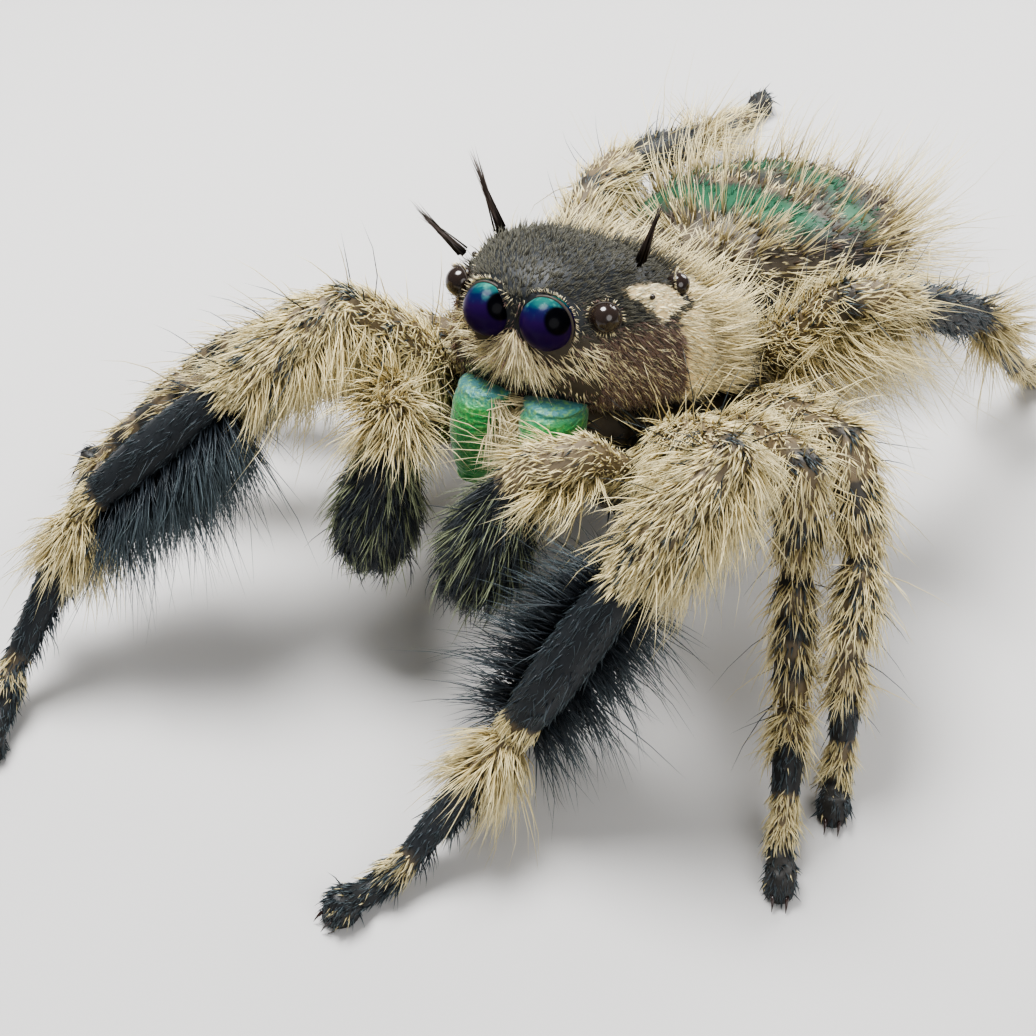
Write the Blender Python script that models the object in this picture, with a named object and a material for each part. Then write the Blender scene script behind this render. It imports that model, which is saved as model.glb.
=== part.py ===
"""Canopy jumping spider at life size, standing still with its forelegs reaching forward.

The body is measured in its own frame: x to the spider's left, y towards its
rear, z up, with the origin midway between the two large front eyes. That frame
is tilted over the floor, nose up and leaning to the right. Every leg is a
chain of segments given by lengths, bearings and slopes, and ends in a small
flat on the floor. Sizes are in millimetres until the last step, which turns
them into metres.
"""
import math
import random

import bmesh
import bpy
import numpy as np
from mathutils import Vector
from mathutils.bvhtree import BVHTree

MM = 0.001
# Gap between touching nodes, and round an eye in its socket
SEAM = 0.16
EYE_SEAM = 0.10
SOCKET_SLACK = 0.02
# Longest edges merged after a union, tried from the longest down
SLIVERS = (0.035, 0.015, 0.0)

# Stance of the body over the floor
NOSE_UP = math.radians(12.4)
LEAN_RIGHT = math.radians(10.4)
EYE_HEIGHT = 4.65

# Carapace, as stations from the face to the rear: y, half width, top, lower margin
CARAPACE = [
    (-0.10, 0.72, 0.42, -0.72),
    (0.10, 1.05, 0.62, -0.86),
    (0.31, 1.28, 0.72, -0.90),
    (0.60, 1.48, 0.80, -0.96),
    (1.00, 1.70, 0.84, -1.04),
    (1.45, 1.86, 0.72, -1.14),
    (1.84, 2.00, 0.50, -1.26),
    (2.50, 2.04, 0.16, -1.28),
    (3.20, 1.86, -0.20, -1.28),
    (3.90, 1.48, -0.52, -1.26),
    (4.45, 1.14, -0.80, -1.30),
    (4.85, 0.62, -0.98, -1.28),
]
CARAPACE_SIDES = 20
CARAPACE_WIDTH_POWER = 0.80
CARAPACE_HEIGHT_POWER = 0.90
CARAPACE_KEEL = 0.06

# Sternum and mouthparts under the carapace
STERNUM_CENTRE = (0.0, 2.25, -2.20)
STERNUM_HALF = (0.62, 1.30, 0.34)
LIP_CENTRE = (0.0, 0.72, -2.16)
LIP_HALF = (0.52, 0.20, 0.36)

# Waist and abdomen
WAIST_START = (0.0, 5.02, -1.24)
WAIST_END = (-0.06, 5.36, -1.30)
WAIST_RADIUS = 0.27
ABDOMEN_FRONT = (0.0, 5.50, -1.34)
ABDOMEN_REAR = (0.25, 10.60, -1.70)
ABDOMEN_PROFILE = [(0.0, 0.30), (0.06, 0.62), (0.16, 0.86), (0.32, 1.0), (0.50, 1.0),
                   (0.66, 0.93), (0.80, 0.76), (0.92, 0.50), (1.0, 0.26)]
ABDOMEN_HALF_WIDTH = 2.24
ABDOMEN_HALF_HEIGHT = 1.24
ABDOMEN_SIDES = 16
SPINNERET_LENGTH = 0.62
SPINNERET_RADIUS = 0.27

# Chelicerae: z, y of the middle, half width, half depth
CHELICERA = [
    (-1.12, 0.10, 0.36, 0.34),
    (-1.24, 0.06, 0.43, 0.46),
    (-1.55, -0.02, 0.44, 0.54),
    (-2.05, -0.05, 0.41, 0.50),
    (-2.42, -0.02, 0.33, 0.40),
    (-2.56, 0.00, 0.24, 0.30),
]
CHELICERA_X = 0.52
CHELICERA_SPREAD = 0.05
CHELICERA_SIDES = 14
FANG_RADIUS = 0.23
FANG_LENGTH = 0.62

# Eyes: centre x (left side), y, z and radius
EYES = {
    "eye_front_median": (0.445, 0.00, 0.00, 0.38),
    "eye_front_lateral": (1.14, 0.31, 0.12, 0.21),
    "eye_middle": (1.43, 1.08, 0.20, 0.10),
    "eye_rear": (1.40, 1.84, 0.09, 0.17),
}
LARGE_EYE = 0.3
# Sides and levels of a small and of a large one
EYE_DETAIL = ((8, 6), (16, 10))
SOCKET_DETAIL = ((7, 5), (10, 5))

# Palps: points of the arm on each side, then the two ends of the bulb
PALP_LEFT = [(1.32, 0.34, -2.12), (1.80, -0.42, -1.66), (1.66, -1.12, -1.18), (1.08, -1.82, -1.28)]
PALP_RIGHT = [(-1.22, 0.30, -2.18), (-1.44, -0.50, -1.76), (-1.34, -1.08, -1.16), (-1.00, -1.62, -1.34)]
PALP_RADII = [0.25, 0.31, 0.40, 0.34]
BULB_TIP_LEFT = (0.42, -2.04, -3.20)
BULB_TIP_RIGHT = (-1.36, -1.76, -3.42)
BULB_PROFILE = [(0.0, 0.36), (0.28, 0.50), (0.46, 0.60), (0.68, 0.62), (0.88, 0.48), (1.0, 0.26)]
PALP_SIDES = 9

# Legs, for the left side: the hip and the inner end of the coxa in the body frame
HIPS = {1: (1.62, 0.96, -1.96), 2: (1.86, 1.97, -1.98), 3: (1.86, 2.86, -1.98), 4: (1.74, 3.66, -1.98)}
COXAE = {1: (0.92, 1.20, -2.22), 2: (0.92, 1.95, -2.24), 3: (0.92, 2.70, -2.24), 4: (0.86, 3.42, -2.22)}
HIP_RADII = {1: (0.29, 0.38), 2: (0.29, 0.34), 3: (0.29, 0.33), 4: (0.28, 0.33)}
# Radii of femur, patella, tibia, metatarsus, tarsus and foot
LEG_RADII = {
    1: (0.50, 0.46, 0.38, 0.28, 0.25, 0.26),
    2: (0.42, 0.38, 0.32, 0.27, 0.25, 0.24),
    3: (0.40, 0.37, 0.32, 0.27, 0.25, 0.24),
    4: (0.46, 0.40, 0.36, 0.29, 0.25, 0.24),
}
# Each segment's length, bearing in degrees (from the left, counted towards the rear) and slope
POSE = {
    "leg_1_left": [(3.30, -43, 41), (1.97, -111, -41), (2.70, -119, -57), (2.16, -103, -30), (1.02, -112, -25)],
    "leg_1_right": [(2.77, -121, 51), (1.99, -110, -16), (2.57, -126, -37), (2.40, -91, -44), (1.30, -70, -37)],
    "leg_2_left": [(2.79, -33, 30), (1.61, -41, -76), (1.82, -55, -51), (1.52, -64, -20), (1.03, -62, -35)],
    "leg_2_right": [(2.78, -133, 6), (1.65, -142, -10), (1.82, -138, -42), (1.17, -82, -21), (0.81, -74, -24)],
    "leg_3_left": [(2.74, -26, 27), (1.57, -46, -39), (1.23, -68, -30), (1.58, -52, -69), (0.92, -66, -47)],
    "leg_3_right": [(2.75, -146, 3), (1.45, -152, -12), (1.19, -140, -38), (1.35, -110, -32), (0.83, -100, -20)],
    "leg_4_left": [(2.63, -5, 59), (1.43, 64, -26), (2.36, 76, -33), (2.73, 75, -50), (1.15, 66, -31)],
    "leg_4_right": [(2.69, 107.6, 18.3), (1.46, 93, -10), (2.43, 91, -22), (2.63, 96, -21), (1.14, 88, -22)],
}
FOOT_RISE = 0.30
FORELEG_SIDES = 10
HINDLEG_SIDES = 8

# Locks of the coat: width and thickness at the root, share of the length to the rings
LOCK_WIDTH = 0.52
LOCK_THICK = 0.44
LOCK_STATIONS = [(0.22, 0.96), (0.62, 0.66)]
LOCK_SINK = 0.24
LOCK_CLEARANCE = 0.20
FLOOR_CLEARANCE = 0.10
# Radii tested near the tip, and shares of the length tried in turn
TIP_RADII = (0.08, 0.04)
SHORTER = (1.0, 0.82, 0.66, 0.5)
SEARCH_MARGIN = 0.6

# Coat of a foreleg and of the other legs: segment, first and last share of its length, rows,
# angles round the segment (0 to the side, 90 on top), length, and how far the hair stands up
FORELEG_COAT = [
    (1, 0.36, 0.88, 3, (30, 90, 150, 320), 0.95, 0.58),
    (2, 0.28, 0.74, 2, (20, 80, 150, 220, 300), 0.95, 0.64),
    (3, 0.18, 0.82, 4, (255, 285), 1.05, 0.88),
    (4, 0.18, 0.48, 2, (0, 90, 180, 270), 0.80, 0.62),
]
HINDLEG_COAT = [
    (1, 0.46, 0.82, 2, (30, 90, 150), 0.75, 0.58),
    (2, 0.52, 0.52, 1, (0, 60, 120, 180), 0.72, 0.62),
    (3, 0.22, 0.66, 2, (30, 150), 0.62, 0.58),
    (4, 0.24, 0.24, 1, (0, 90, 180), 0.60, 0.62),
]
PALP_COAT = [
    (1, 0.78, 0.78, 1, (20, 90, 160), 0.62, 0.72),
    (2, 0.45, 0.45, 1, (0, 60, 120, 180), 0.68, 0.68),
]
BULB_COAT = [(3, 0.46, 0.46, 1, (0, 60, 120, 180), 0.66, 0.42)]

# Coat of the abdomen: rows along it, angles from the left side over the top, lengths
ABDOMEN_ROWS = (0.08, 0.24, 0.41, 0.58, 0.75, 0.90)
ABDOMEN_ANGLES = (-14, 20, 54, 90, 126, 160, 194)
ABDOMEN_LOCK = 1.15
ABDOMEN_STAND = 0.80

# Coat of the carapace: y, angles, length, stand
CARAPACE_COAT = [
    (2.15, (24, 50, 130, 156), 0.70, 0.50),
    (2.85, (10, 42, 72, 108, 138, 170), 0.80, 0.55),
    (3.60, (24, 62, 90, 118, 156), 0.85, 0.60),
    (4.30, (14, 50, 130, 166), 0.80, 0.60),
]
CHEEK_COAT = [(0.75, 0.42), (1.35, 0.50), (2.05, 0.55)]
CLYPEUS_X = (-0.62, -0.31, 0.0, 0.31, 0.62)
CLYPEUS_LOCK = 0.42
# Bristle tufts over the eyes: root, direction, length, root width
BROW_TUFTS = [
    ((-1.02, 1.15, 0.62), (-0.60, 0.20, 0.96), 1.20, 0.42),
    ((-1.32, 0.62, 0.42), (-0.80, 0.00, 0.52), 0.95, 0.40),
    ((1.12, 1.25, 0.58), (0.22, 0.20, 0.87), 0.95, 0.42),
]

COLOURS = {
    "scales": ((0.16, 0.14, 0.12), 0.75),
    "cream": ((0.62, 0.55, 0.42), 0.8),
    "dark": ((0.05, 0.06, 0.07), 0.55),
    "green": ((0.04, 0.26, 0.16), 0.3),
    "eye": ((0.01, 0.01, 0.03), 0.08),
    "fang": ((0.05, 0.02, 0.01), 0.3),
}


def body_axes():
    """The body frame's axes in floor coordinates, as rows x, y, z."""
    sp, cp = math.sin(NOSE_UP), math.cos(NOSE_UP)
    sr, cr = math.sin(LEAN_RIGHT), math.cos(LEAN_RIGHT)
    return np.array([(cr, sr * sp, sr * cp), (0.0, cp, -sp), (-sr, cr * sp, cr * cp)])


AXES = body_axes()
EYES_AT = np.array((0.0, 0.0, EYE_HEIGHT))


def to_floor(points):
    """Body coordinates to floor coordinates, for one point or an array of them."""
    return EYES_AT + np.asarray(points, float) @ AXES


def unit(vector):
    vector = np.asarray(vector, float)
    return vector / max(1e-9, np.linalg.norm(vector))


def mirrored(point, side):
    return (point[0] * side, point[1], point[2])


# Meshes

def mesh_object(name, vertices, faces):
    mesh = bpy.data.meshes.new(name)
    mesh.from_pydata([tuple(v) for v in vertices], [], [tuple(f) for f in faces])
    bm = bmesh.new()
    bm.from_mesh(mesh)
    bmesh.ops.recalc_face_normals(bm, faces=bm.faces)
    bmesh.ops.triangulate(bm, faces=bm.faces)
    bm.to_mesh(mesh)
    bm.free()
    obj = bpy.data.objects.new(name, mesh)
    bpy.context.scene.collection.objects.link(obj)
    return obj


def loft(name, rings):
    """One closed body through rings of equal point counts, capped by a fan at both ends."""
    sides = len(rings[0])
    vertices = [p for ring in rings for p in ring]
    faces = []
    for k in range(len(rings) - 1):
        for i in range(sides):
            j = (i + 1) % sides
            a, b = k * sides, (k + 1) * sides
            faces.append((a + i, a + j, b + j, b + i))
    first, last = len(vertices), len(vertices) + 1
    vertices += [np.mean(rings[0], axis=0), np.mean(rings[-1], axis=0)]
    for i in range(sides):
        j = (i + 1) % sides
        faces.append((first, j, i))
        faces.append((last, (len(rings) - 1) * sides + i, (len(rings) - 1) * sides + j))
    return mesh_object(name, vertices, faces)


def ring(centre, across, upward, sides):
    """Points on an ellipse with the two given half axes."""
    turn = np.linspace(0.0, 2.0 * math.pi, sides, endpoint=False)
    return np.asarray(centre) + np.outer(np.cos(turn), across) + np.outer(np.sin(turn), upward)


def ball(name, centre, radius, segments=14, rings=9):
    """A closed ball in floor coordinates."""
    levels = np.linspace(0.0, math.pi, rings + 1)[1:-1]
    stack = [ring(centre + np.array((0, 0, -radius * math.cos(a))), (radius * math.sin(a), 0, 0),
                  (0, radius * math.sin(a), 0), segments) for a in levels]
    vertices = [p for level in stack for p in level] + [centre - np.array((0, 0, radius)),
                                                        centre + np.array((0, 0, radius))]
    count = len(stack) * segments
    faces = []
    for k in range(len(stack) - 1):
        for i in range(segments):
            j = (i + 1) % segments
            faces.append((k * segments + i, k * segments + j, (k + 1) * segments + j, (k + 1) * segments + i))
    for i in range(segments):
        j = (i + 1) % segments
        faces.append((count, j, i))
        faces.append((count + 1, count - segments + i, count - segments + j))
    return mesh_object(name, vertices, faces)


def combine(obj, others, operation, solver="EXACT"):
    """Apply one Boolean of a collection of closed meshes, then remove those meshes."""
    group = bpy.data.collections.new(obj.name + "_pieces")
    bpy.context.scene.collection.children.link(group)
    for other in others:
        bpy.context.scene.collection.objects.unlink(other)
        group.objects.link(other)
    step = obj.modifiers.new("join", "BOOLEAN")
    step.operation = operation
    step.operand_type = "COLLECTION"
    step.collection = group
    step.solver = solver
    fused = bpy.data.meshes.new_from_object(obj.evaluated_get(bpy.context.evaluated_depsgraph_get()))
    obj.modifiers.clear()
    obj.data = fused
    for other in others:
        bpy.data.objects.remove(other)
    bpy.data.collections.remove(group)
    keep_largest(obj)
    return obj


def keep_largest(obj):
    """Merge slivers where the surface stays closed, then keep only the largest surface."""
    for sliver in SLIVERS:
        bm = bmesh.new()
        bm.from_mesh(obj.data)
        if sliver:
            bmesh.ops.dissolve_degenerate(bm, edges=bm.edges, dist=sliver)
        bmesh.ops.triangulate(bm, faces=bm.faces)
        largest = max(shells_of(bm), key=lambda shell: sum(f.calc_area() for f in shell))
        bmesh.ops.delete(bm, geom=[f for f in bm.faces if f not in largest], context="FACES")
        sound = all(len(edge.link_faces) == 2 for edge in bm.edges) and not folded(bm)
        if sound or sliver == SLIVERS[-1]:
            bm.to_mesh(obj.data)
            bm.free()
            return
        bm.free()


def shells_of(bm):
    """The faces of each separate surface."""
    unseen = set(bm.faces)
    shells = []
    while unseen:
        shell, frontier = set(), [unseen.pop()]
        while frontier:
            face = frontier.pop()
            shell.add(face)
            near = {f for e in face.edges for f in e.link_faces if f in unseen}
            unseen -= near
            frontier.extend(near)
        shells.append(shell)
    return shells


def folded(bm):
    """True where two faces lie back to back, as a merge of slivers can leave them."""
    return any(e.link_faces[0].normal.dot(e.link_faces[1].normal) < -0.999 for e in bm.edges)


def finish(obj, look):
    """Give a node its material and turn its millimetres into metres."""
    colour, rough = COLOURS[look]
    material = bpy.data.materials.new(obj.name)
    material.use_nodes = True
    shader = material.node_tree.nodes["Principled BSDF"]
    shader.inputs["Base Color"].default_value = (*colour, 1.0)
    shader.inputs["Roughness"].default_value = rough
    shader.inputs["Metallic"].default_value = 0.0
    obj.data.materials.clear()
    obj.data.materials.append(material)
    count = len(obj.data.vertices)
    places = np.empty(count * 3)
    obj.data.vertices.foreach_get("co", places)
    obj.data.vertices.foreach_set("co", places * MM)
    obj.data.update()
    obj.data.shade_smooth()
    obj.data.set_sharp_from_angle(angle=math.radians(40))
    return obj


# Body

def carapace_ring(y, half_width, top, margin, sides):
    """A section of the carapace: a rounded roof over the margin and a shallow keel below it."""
    points = []
    for k in range(sides):
        turn = 2.0 * math.pi * k / sides
        c, s = math.cos(turn), math.sin(turn)
        x = half_width * math.copysign(abs(c) ** CARAPACE_WIDTH_POWER, c)
        if s >= 0:
            z = margin + (top - margin) * s ** CARAPACE_HEIGHT_POWER
        else:
            z = margin - CARAPACE_KEEL * (-s) ** CARAPACE_HEIGHT_POWER
        points.append((x, y, z))
    return to_floor(points)


# Coat

class Coat:
    """Locks to be fused with their nodes, each kept clear of every other node.

    A lock is a three-sided blade: it leaves its root at a slant, bends over
    towards the lie of the hair and tapers to a point. One that would come near
    another node, another node's locks or the floor is made shorter, and left
    out if even its shortest form would.
    """

    def __init__(self, cores):
        self.trees = {}
        self.boxes = {}
        self.locks = {core.name: [] for core in cores}
        self.spines = []
        for core in cores:
            places = [v.co for v in core.data.vertices]
            faces = [tuple(face.vertices) for face in core.data.polygons]
            self.trees[core.name] = BVHTree.FromPolygons(places, faces)
            spread = np.array([tuple(v) for v in places])
            self.boxes[core.name] = (spread.min(axis=0) - SEARCH_MARGIN, spread.max(axis=0) + SEARCH_MARGIN)

    def is_clear(self, node, points, radii):
        for point, radius in zip(points, radii):
            if point[2] < radius * 0.5 + FLOOR_CLEARANCE:
                return False
            for name, tree in self.trees.items():
                low, high = self.boxes[name]
                if name == node or (point < low).any() or (point > high).any():
                    continue
                near, normal, _, gap = tree.find_nearest(Vector(point))
                inside = (Vector(point) - near).dot(normal) < 0
                if inside or gap < radius * 0.6 + LOCK_CLEARANCE:
                    return False
            for name, start, end, reach in self.spines:
                if name == node:
                    continue
                along = end - start
                share = float(np.clip((point - start) @ along / (along @ along), 0.0, 1.0))
                if np.linalg.norm(point - start - along * share) < (radius + reach) * 0.6 + LOCK_CLEARANCE:
                    return False
        return True

    def add(self, node, root, out, lie, length, stand, width=LOCK_WIDTH, sink=LOCK_SINK):
        """Grow one lock from a point of the node's surface, if there is room for it."""
        out, lie = unit(out), unit(lie - out * float(out @ lie))
        side = np.cross(out, lie)
        first = unit(out * stand + lie * (1.0 - stand))
        last = unit(out * stand * stand + lie * 1.2 * (1.0 - stand))
        thick = width * LOCK_THICK / LOCK_WIDTH
        for share in SHORTER:
            reach = length * share
            spine = [root - first * sink]
            headings = [first]
            for t, _ in LOCK_STATIONS:
                headings.append(unit(first * (1.0 - t) + last * t))
                spine.append(root + headings[-1] * reach * t)
            tip = root + unit(first * 0.45 + last * 0.55) * reach
            sizes = [1.0] + [size for _, size in LOCK_STATIONS]
            radii = [0.5 * width * size for size in sizes] + list(TIP_RADII)
            tested = [root] + spine[1:] + [(spine[-1] + tip) / 2, tip]
            if self.is_clear(node, tested, radii):
                break
        else:
            return
        rings = []
        for point, heading, size in zip(spine, headings, sizes):
            rise = np.cross(heading, side)
            rings.append((point - side * width * size / 2 + rise * thick * size / 3,
                          point + side * width * size / 2 + rise * thick * size / 3,
                          point - rise * thick * size * 2 / 3))
        self.locks[node].append(blade(node + "_lock", rings, tip))
        self.spines.append((node, spine[1], tip, 0.35 * width))

    def fuse(self, node):
        if self.locks[node.name]:
            combine(node, self.locks[node.name], "UNION", "MANIFOLD")


def blade(name, rings, tip):
    """A closed three-sided blade through a few rings, ending in a point."""
    vertices = [p for three in rings for p in three] + [tip]
    faces = [(0, 1, 2)]
    for k in range(len(rings) - 1):
        for i in range(3):
            a, b = 3 * k + i, 3 * k + (i + 1) % 3
            faces.append((a, b, b + 3, a + 3))
    last = 3 * (len(rings) - 1)
    for i in range(3):
        faces.append((last + i, last + (i + 1) % 3, len(vertices) - 1))
    return mesh_object(name, vertices, faces)


def surface_point(node, inside, out):
    """Where a ray from inside a node leaves its surface."""
    places = [v.co for v in node.data.vertices]
    tree = BVHTree.FromPolygons(places, [tuple(f.vertices) for f in node.data.polygons])
    hit, normal, _, _ = tree.ray_cast(Vector(inside), Vector(out))
    if hit is None:
        raise ValueError(f"no surface of {node.name} along this ray")
    return np.array(hit), np.array(normal)


def coat_segment(coat, nodes, points, plan, rng):
    """Rows of locks round the segments of a limb, each row turned by half a step."""
    frames = frames_along(points)
    for segment, first, last, rows, angles, length, stand in plan:
        ahead, across, upward = frames[segment]
        for row in range(rows):
            share = first if rows == 1 else first + (last - first) * row / (rows - 1)
            middle = points[segment] + (points[segment + 1] - points[segment]) * share
            turn = (row % 2) * 0.5 * (angles[1] - angles[0]) - 0.25 * (angles[1] - angles[0])
            for angle in angles:
                a = math.radians(angle + turn + rng.uniform(-6, 6))
                out = across * math.cos(a) + upward * math.sin(a)
                root, _ = surface_point(nodes[segment], middle, out)
                coat.add(nodes[segment].name, root, out, ahead, length * rng.uniform(0.88, 1.12), stand)


def coat_abdomen(coat, node, rng):
    front, rear = np.array(ABDOMEN_FRONT), np.array(ABDOMEN_REAR)
    for row, share in enumerate(ABDOMEN_ROWS):
        middle = front + (rear - front) * share
        for angle in ABDOMEN_ANGLES:
            a = math.radians(angle + (row % 2) * 12 - 6 + rng.uniform(-4, 4))
            out = unit(to_floor(middle + (math.cos(a), 0.0, math.sin(a))) - to_floor(middle))
            root, normal = surface_point(node, to_floor(middle), out)
            length = ABDOMEN_LOCK * rng.uniform(0.85, 1.15)
            coat.add(node.name, root, normal, AXES[1], length, ABDOMEN_STAND)


def coat_carapace(coat, node, rng):
    for y, angles, length, stand in CARAPACE_COAT:
        for angle in angles:
            a = math.radians(angle + rng.uniform(-4, 4))
            middle = np.array((0.0, y, -1.0))
            out = unit(to_floor(middle + (math.cos(a), 0.0, math.sin(a))) - to_floor(middle))
            root, normal = surface_point(node, to_floor(middle), out)
            coat.add(node.name, root, normal, AXES[1], length * rng.uniform(0.9, 1.1), stand)
    for side in (1, -1):
        for y, length in CHEEK_COAT:
            middle = np.array((0.0, y, -0.72))
            out = AXES[0] * side
            root, normal = surface_point(node, to_floor(middle), out)
            lie = AXES[1] * 0.5 - AXES[2]
            coat.add(node.name, root, normal, lie, length, 0.45)
    for x in CLYPEUS_X:
        start = to_floor((x, 0.6, -0.58))
        root, normal = surface_point(node, start, -AXES[1])
        coat.add(node.name, root, normal, -AXES[2] * 0.6 - AXES[1], CLYPEUS_LOCK, 0.75, 0.40, 0.16)
    for root, direction, length, width in BROW_TUFTS:
        out = to_floor(direction) - EYES_AT
        coat.add(node.name, to_floor(root), out, AXES[1], length, 0.92, width, 0.16)


def build_cephalothorax():
    rings = [carapace_ring(*station, CARAPACE_SIDES) for station in CARAPACE]
    shell = loft("cephalothorax", rings)
    sockets = []
    for side in (1, -1):
        for x, y, z, radius in EYES.values():
            detail = SOCKET_DETAIL[radius > LARGE_EYE]
            reach = radius + EYE_SEAM + SOCKET_SLACK
            sockets.append(ball("socket", to_floor((x * side, y, z)), reach, *detail))
    combine(shell, sockets, "DIFFERENCE")
    return shell


def build_eyes():
    for side, word in ((1, "left"), (-1, "right")):
        for name, (x, y, z, radius) in EYES.items():
            ball(f"{name}_{word}", to_floor((x * side, y, z)), radius, *EYE_DETAIL[radius > LARGE_EYE])


def ellipsoid(name, centre, half, sides, levels):
    """A closed ellipsoid in the body frame."""
    rings = []
    for angle in np.linspace(0.0, math.pi, levels + 2)[1:-1]:
        middle = np.array(centre) + (0.0, -half[1] * math.cos(angle), 0.0)
        reach = math.sin(angle)
        rings.append(to_floor(ring(middle, (half[0] * reach, 0, 0), (0, 0, half[2] * reach), sides)))
    return loft(name, rings)


def build_underside():
    ellipsoid("sternum", STERNUM_CENTRE, STERNUM_HALF, 12, 6)
    ellipsoid("mouthparts", LIP_CENTRE, LIP_HALF, 10, 4)
    start, end = to_floor(WAIST_START), to_floor(WAIST_END)
    across, upward = AXES[0], AXES[2]
    rings = [ring(start + (end - start) * t, across * WAIST_RADIUS, upward * WAIST_RADIUS, 10)
             for t in (0, 0.5, 1)]
    loft("waist", rings)


def build_chelicerae():
    for side, word in ((1, "left"), (-1, "right")):
        rings = []
        for z, y, half_width, half_depth in CHELICERA:
            x = side * (CHELICERA_X + CHELICERA_SPREAD * (-1.0 - z))
            rings.append(to_floor(ring((x, y, z), (half_width, 0, 0), (0, half_depth, 0), CHELICERA_SIDES)))
        loft(f"chelicera_{word}", rings)
        root = np.array((side * (CHELICERA_X + 0.10), 0.02, CHELICERA[-1][0] - SEAM))
        swing = np.array((-side * 0.34, 0.26, -0.55))
        rings = []
        for t, share in ((0.0, 1.0), (0.3, 0.92), (0.65, 0.6), (1.0, 0.25)):
            middle = root + unit(swing) * FANG_LENGTH * t
            middle = middle + np.array((0.0, 0.10 * t * t, 0.0))
            rings.append(to_floor(ring(middle, (FANG_RADIUS * share, 0, 0), (0, FANG_RADIUS * share, 0), 8)))
        loft(f"fang_{word}", rings)


def build_abdomen():
    front, rear = np.array(ABDOMEN_FRONT), np.array(ABDOMEN_REAR)
    rings = []
    for t, share in ABDOMEN_PROFILE:
        middle = front + (rear - front) * t
        rings.append(to_floor(ring(middle, (ABDOMEN_HALF_WIDTH * share, 0, 0),
                                   (0, 0, ABDOMEN_HALF_HEIGHT * share), ABDOMEN_SIDES)))
    body = loft("abdomen", rings)
    root = rear + (0.0, SEAM, -0.02)
    rings = []
    for t, share in ((0.0, 1.0), (0.5, 0.95), (1.0, 0.5)):
        rings.append(to_floor(ring(root + (0.0, SPINNERET_LENGTH * t, 0.0), (SPINNERET_RADIUS * share, 0, 0),
                                   (0, 0, SPINNERET_RADIUS * share), 10)))
    loft("spinnerets", rings)
    return body


# Legs and palps

def leg_joints(name):
    """Joint places along one leg in floor coordinates, from the coxa to the foot on the floor."""
    pair = int(name.split("_")[1])
    side = 1 if name.endswith("left") else -1
    points = [to_floor(mirrored(COXAE[pair], side)), to_floor(mirrored(HIPS[pair], side))]
    for length, bearing, slope in POSE[name]:
        b, s = math.radians(bearing), math.radians(slope)
        step = np.array((math.cos(b) * math.cos(s), math.sin(b) * math.cos(s), math.sin(s)))
        points.append(points[-1] + length * step)
    points[-1][2] = 0.0
    points[-2][2] = max(points[-2][2], FOOT_RISE + 0.1)
    return pair, np.array(points)


def frames_along(points):
    """Direction, side and upward vectors of each segment of a chain."""
    frames = []
    for a, b in zip(points[:-1], points[1:]):
        ahead = unit(b - a)
        across = unit(np.cross(ahead, (0.0, 0.0, 1.0)))
        frames.append((ahead, across, np.cross(across, ahead)))
    return frames


def joint_ring(centre, before, after, radius, sides, shift=0.0):
    """A ring in the plane that halves the bend at a joint, moved along by a shift."""
    ahead = unit(before[0] + after[0])
    across = before[1] + after[1]
    across = unit(across - ahead * float(across @ ahead))
    upward = np.cross(across, ahead)
    stretch = 1.0 / max(0.72, math.sqrt(0.5 * (1.0 + float(before[0] @ after[0]))))
    return ring(centre + ahead * shift, across * radius, upward * radius * stretch, sides)


def cross_ring(a, b, share, frame, radius, sides, tall=1.0):
    """A ring square across a segment at a share of its length."""
    return ring(a + (b - a) * share, frame[1] * radius, frame[2] * radius * tall, sides)


def build_leg(name):
    pair, points = leg_joints(name)
    femur, patella, tibia, metatarsus, tarsus, sole = LEG_RADII[pair]
    coxa, hip = HIP_RADII[pair]
    f = frames_along(points)
    sides = FORELEG_SIDES if pair == 1 else HINDLEG_SIDES
    half = SEAM / 2
    upper = [
        cross_ring(points[0], points[1], 0.0, f[0], coxa, sides),
        cross_ring(points[0], points[1], 0.6, f[0], coxa * 1.05, sides),
        joint_ring(points[1], f[0], f[1], hip, sides),
        cross_ring(points[1], points[2], 0.25, f[1], femur * 0.74, sides),
        cross_ring(points[1], points[2], 0.55, f[1], femur, sides, 1.08),
        cross_ring(points[1], points[2], 0.76, f[1], femur * 0.88, sides),
        joint_ring(points[2], f[1], f[2], patella * 0.84, sides, -half),
    ]
    middle = [
        joint_ring(points[2], f[1], f[2], patella * 0.84, sides, half),
        cross_ring(points[2], points[3], 0.45, f[2], patella, sides),
        joint_ring(points[3], f[2], f[3], tibia * 0.80, sides),
        cross_ring(points[3], points[4], 0.30, f[3], tibia, sides),
        cross_ring(points[3], points[4], 0.70, f[3], tibia * 0.94, sides),
        joint_ring(points[4], f[3], f[4], metatarsus * 0.95, sides, -half),
    ]
    lower = [
        joint_ring(points[4], f[3], f[4], metatarsus * 0.95, sides, half),
        cross_ring(points[4], points[5], 0.35, f[4], metatarsus, sides),
        cross_ring(points[4], points[5], 0.78, f[4], tarsus, sides),
        joint_ring(points[5], f[4], f[5], tarsus, sides),
        foot_ring(points[6], f[5], sole, sides),
        ring(points[6], f[5][1] * sole, unit(f[5][0] * (1, 1, 0)) * sole * 1.15, sides),
    ]
    femur = loft(f"{name}_femur", upper)
    tibia = loft(f"{name}_tibia", middle)
    foot = loft(f"{name}_foot", lower)
    return points, {1: femur, 2: tibia, 3: tibia, 4: foot, 5: foot}


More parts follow.
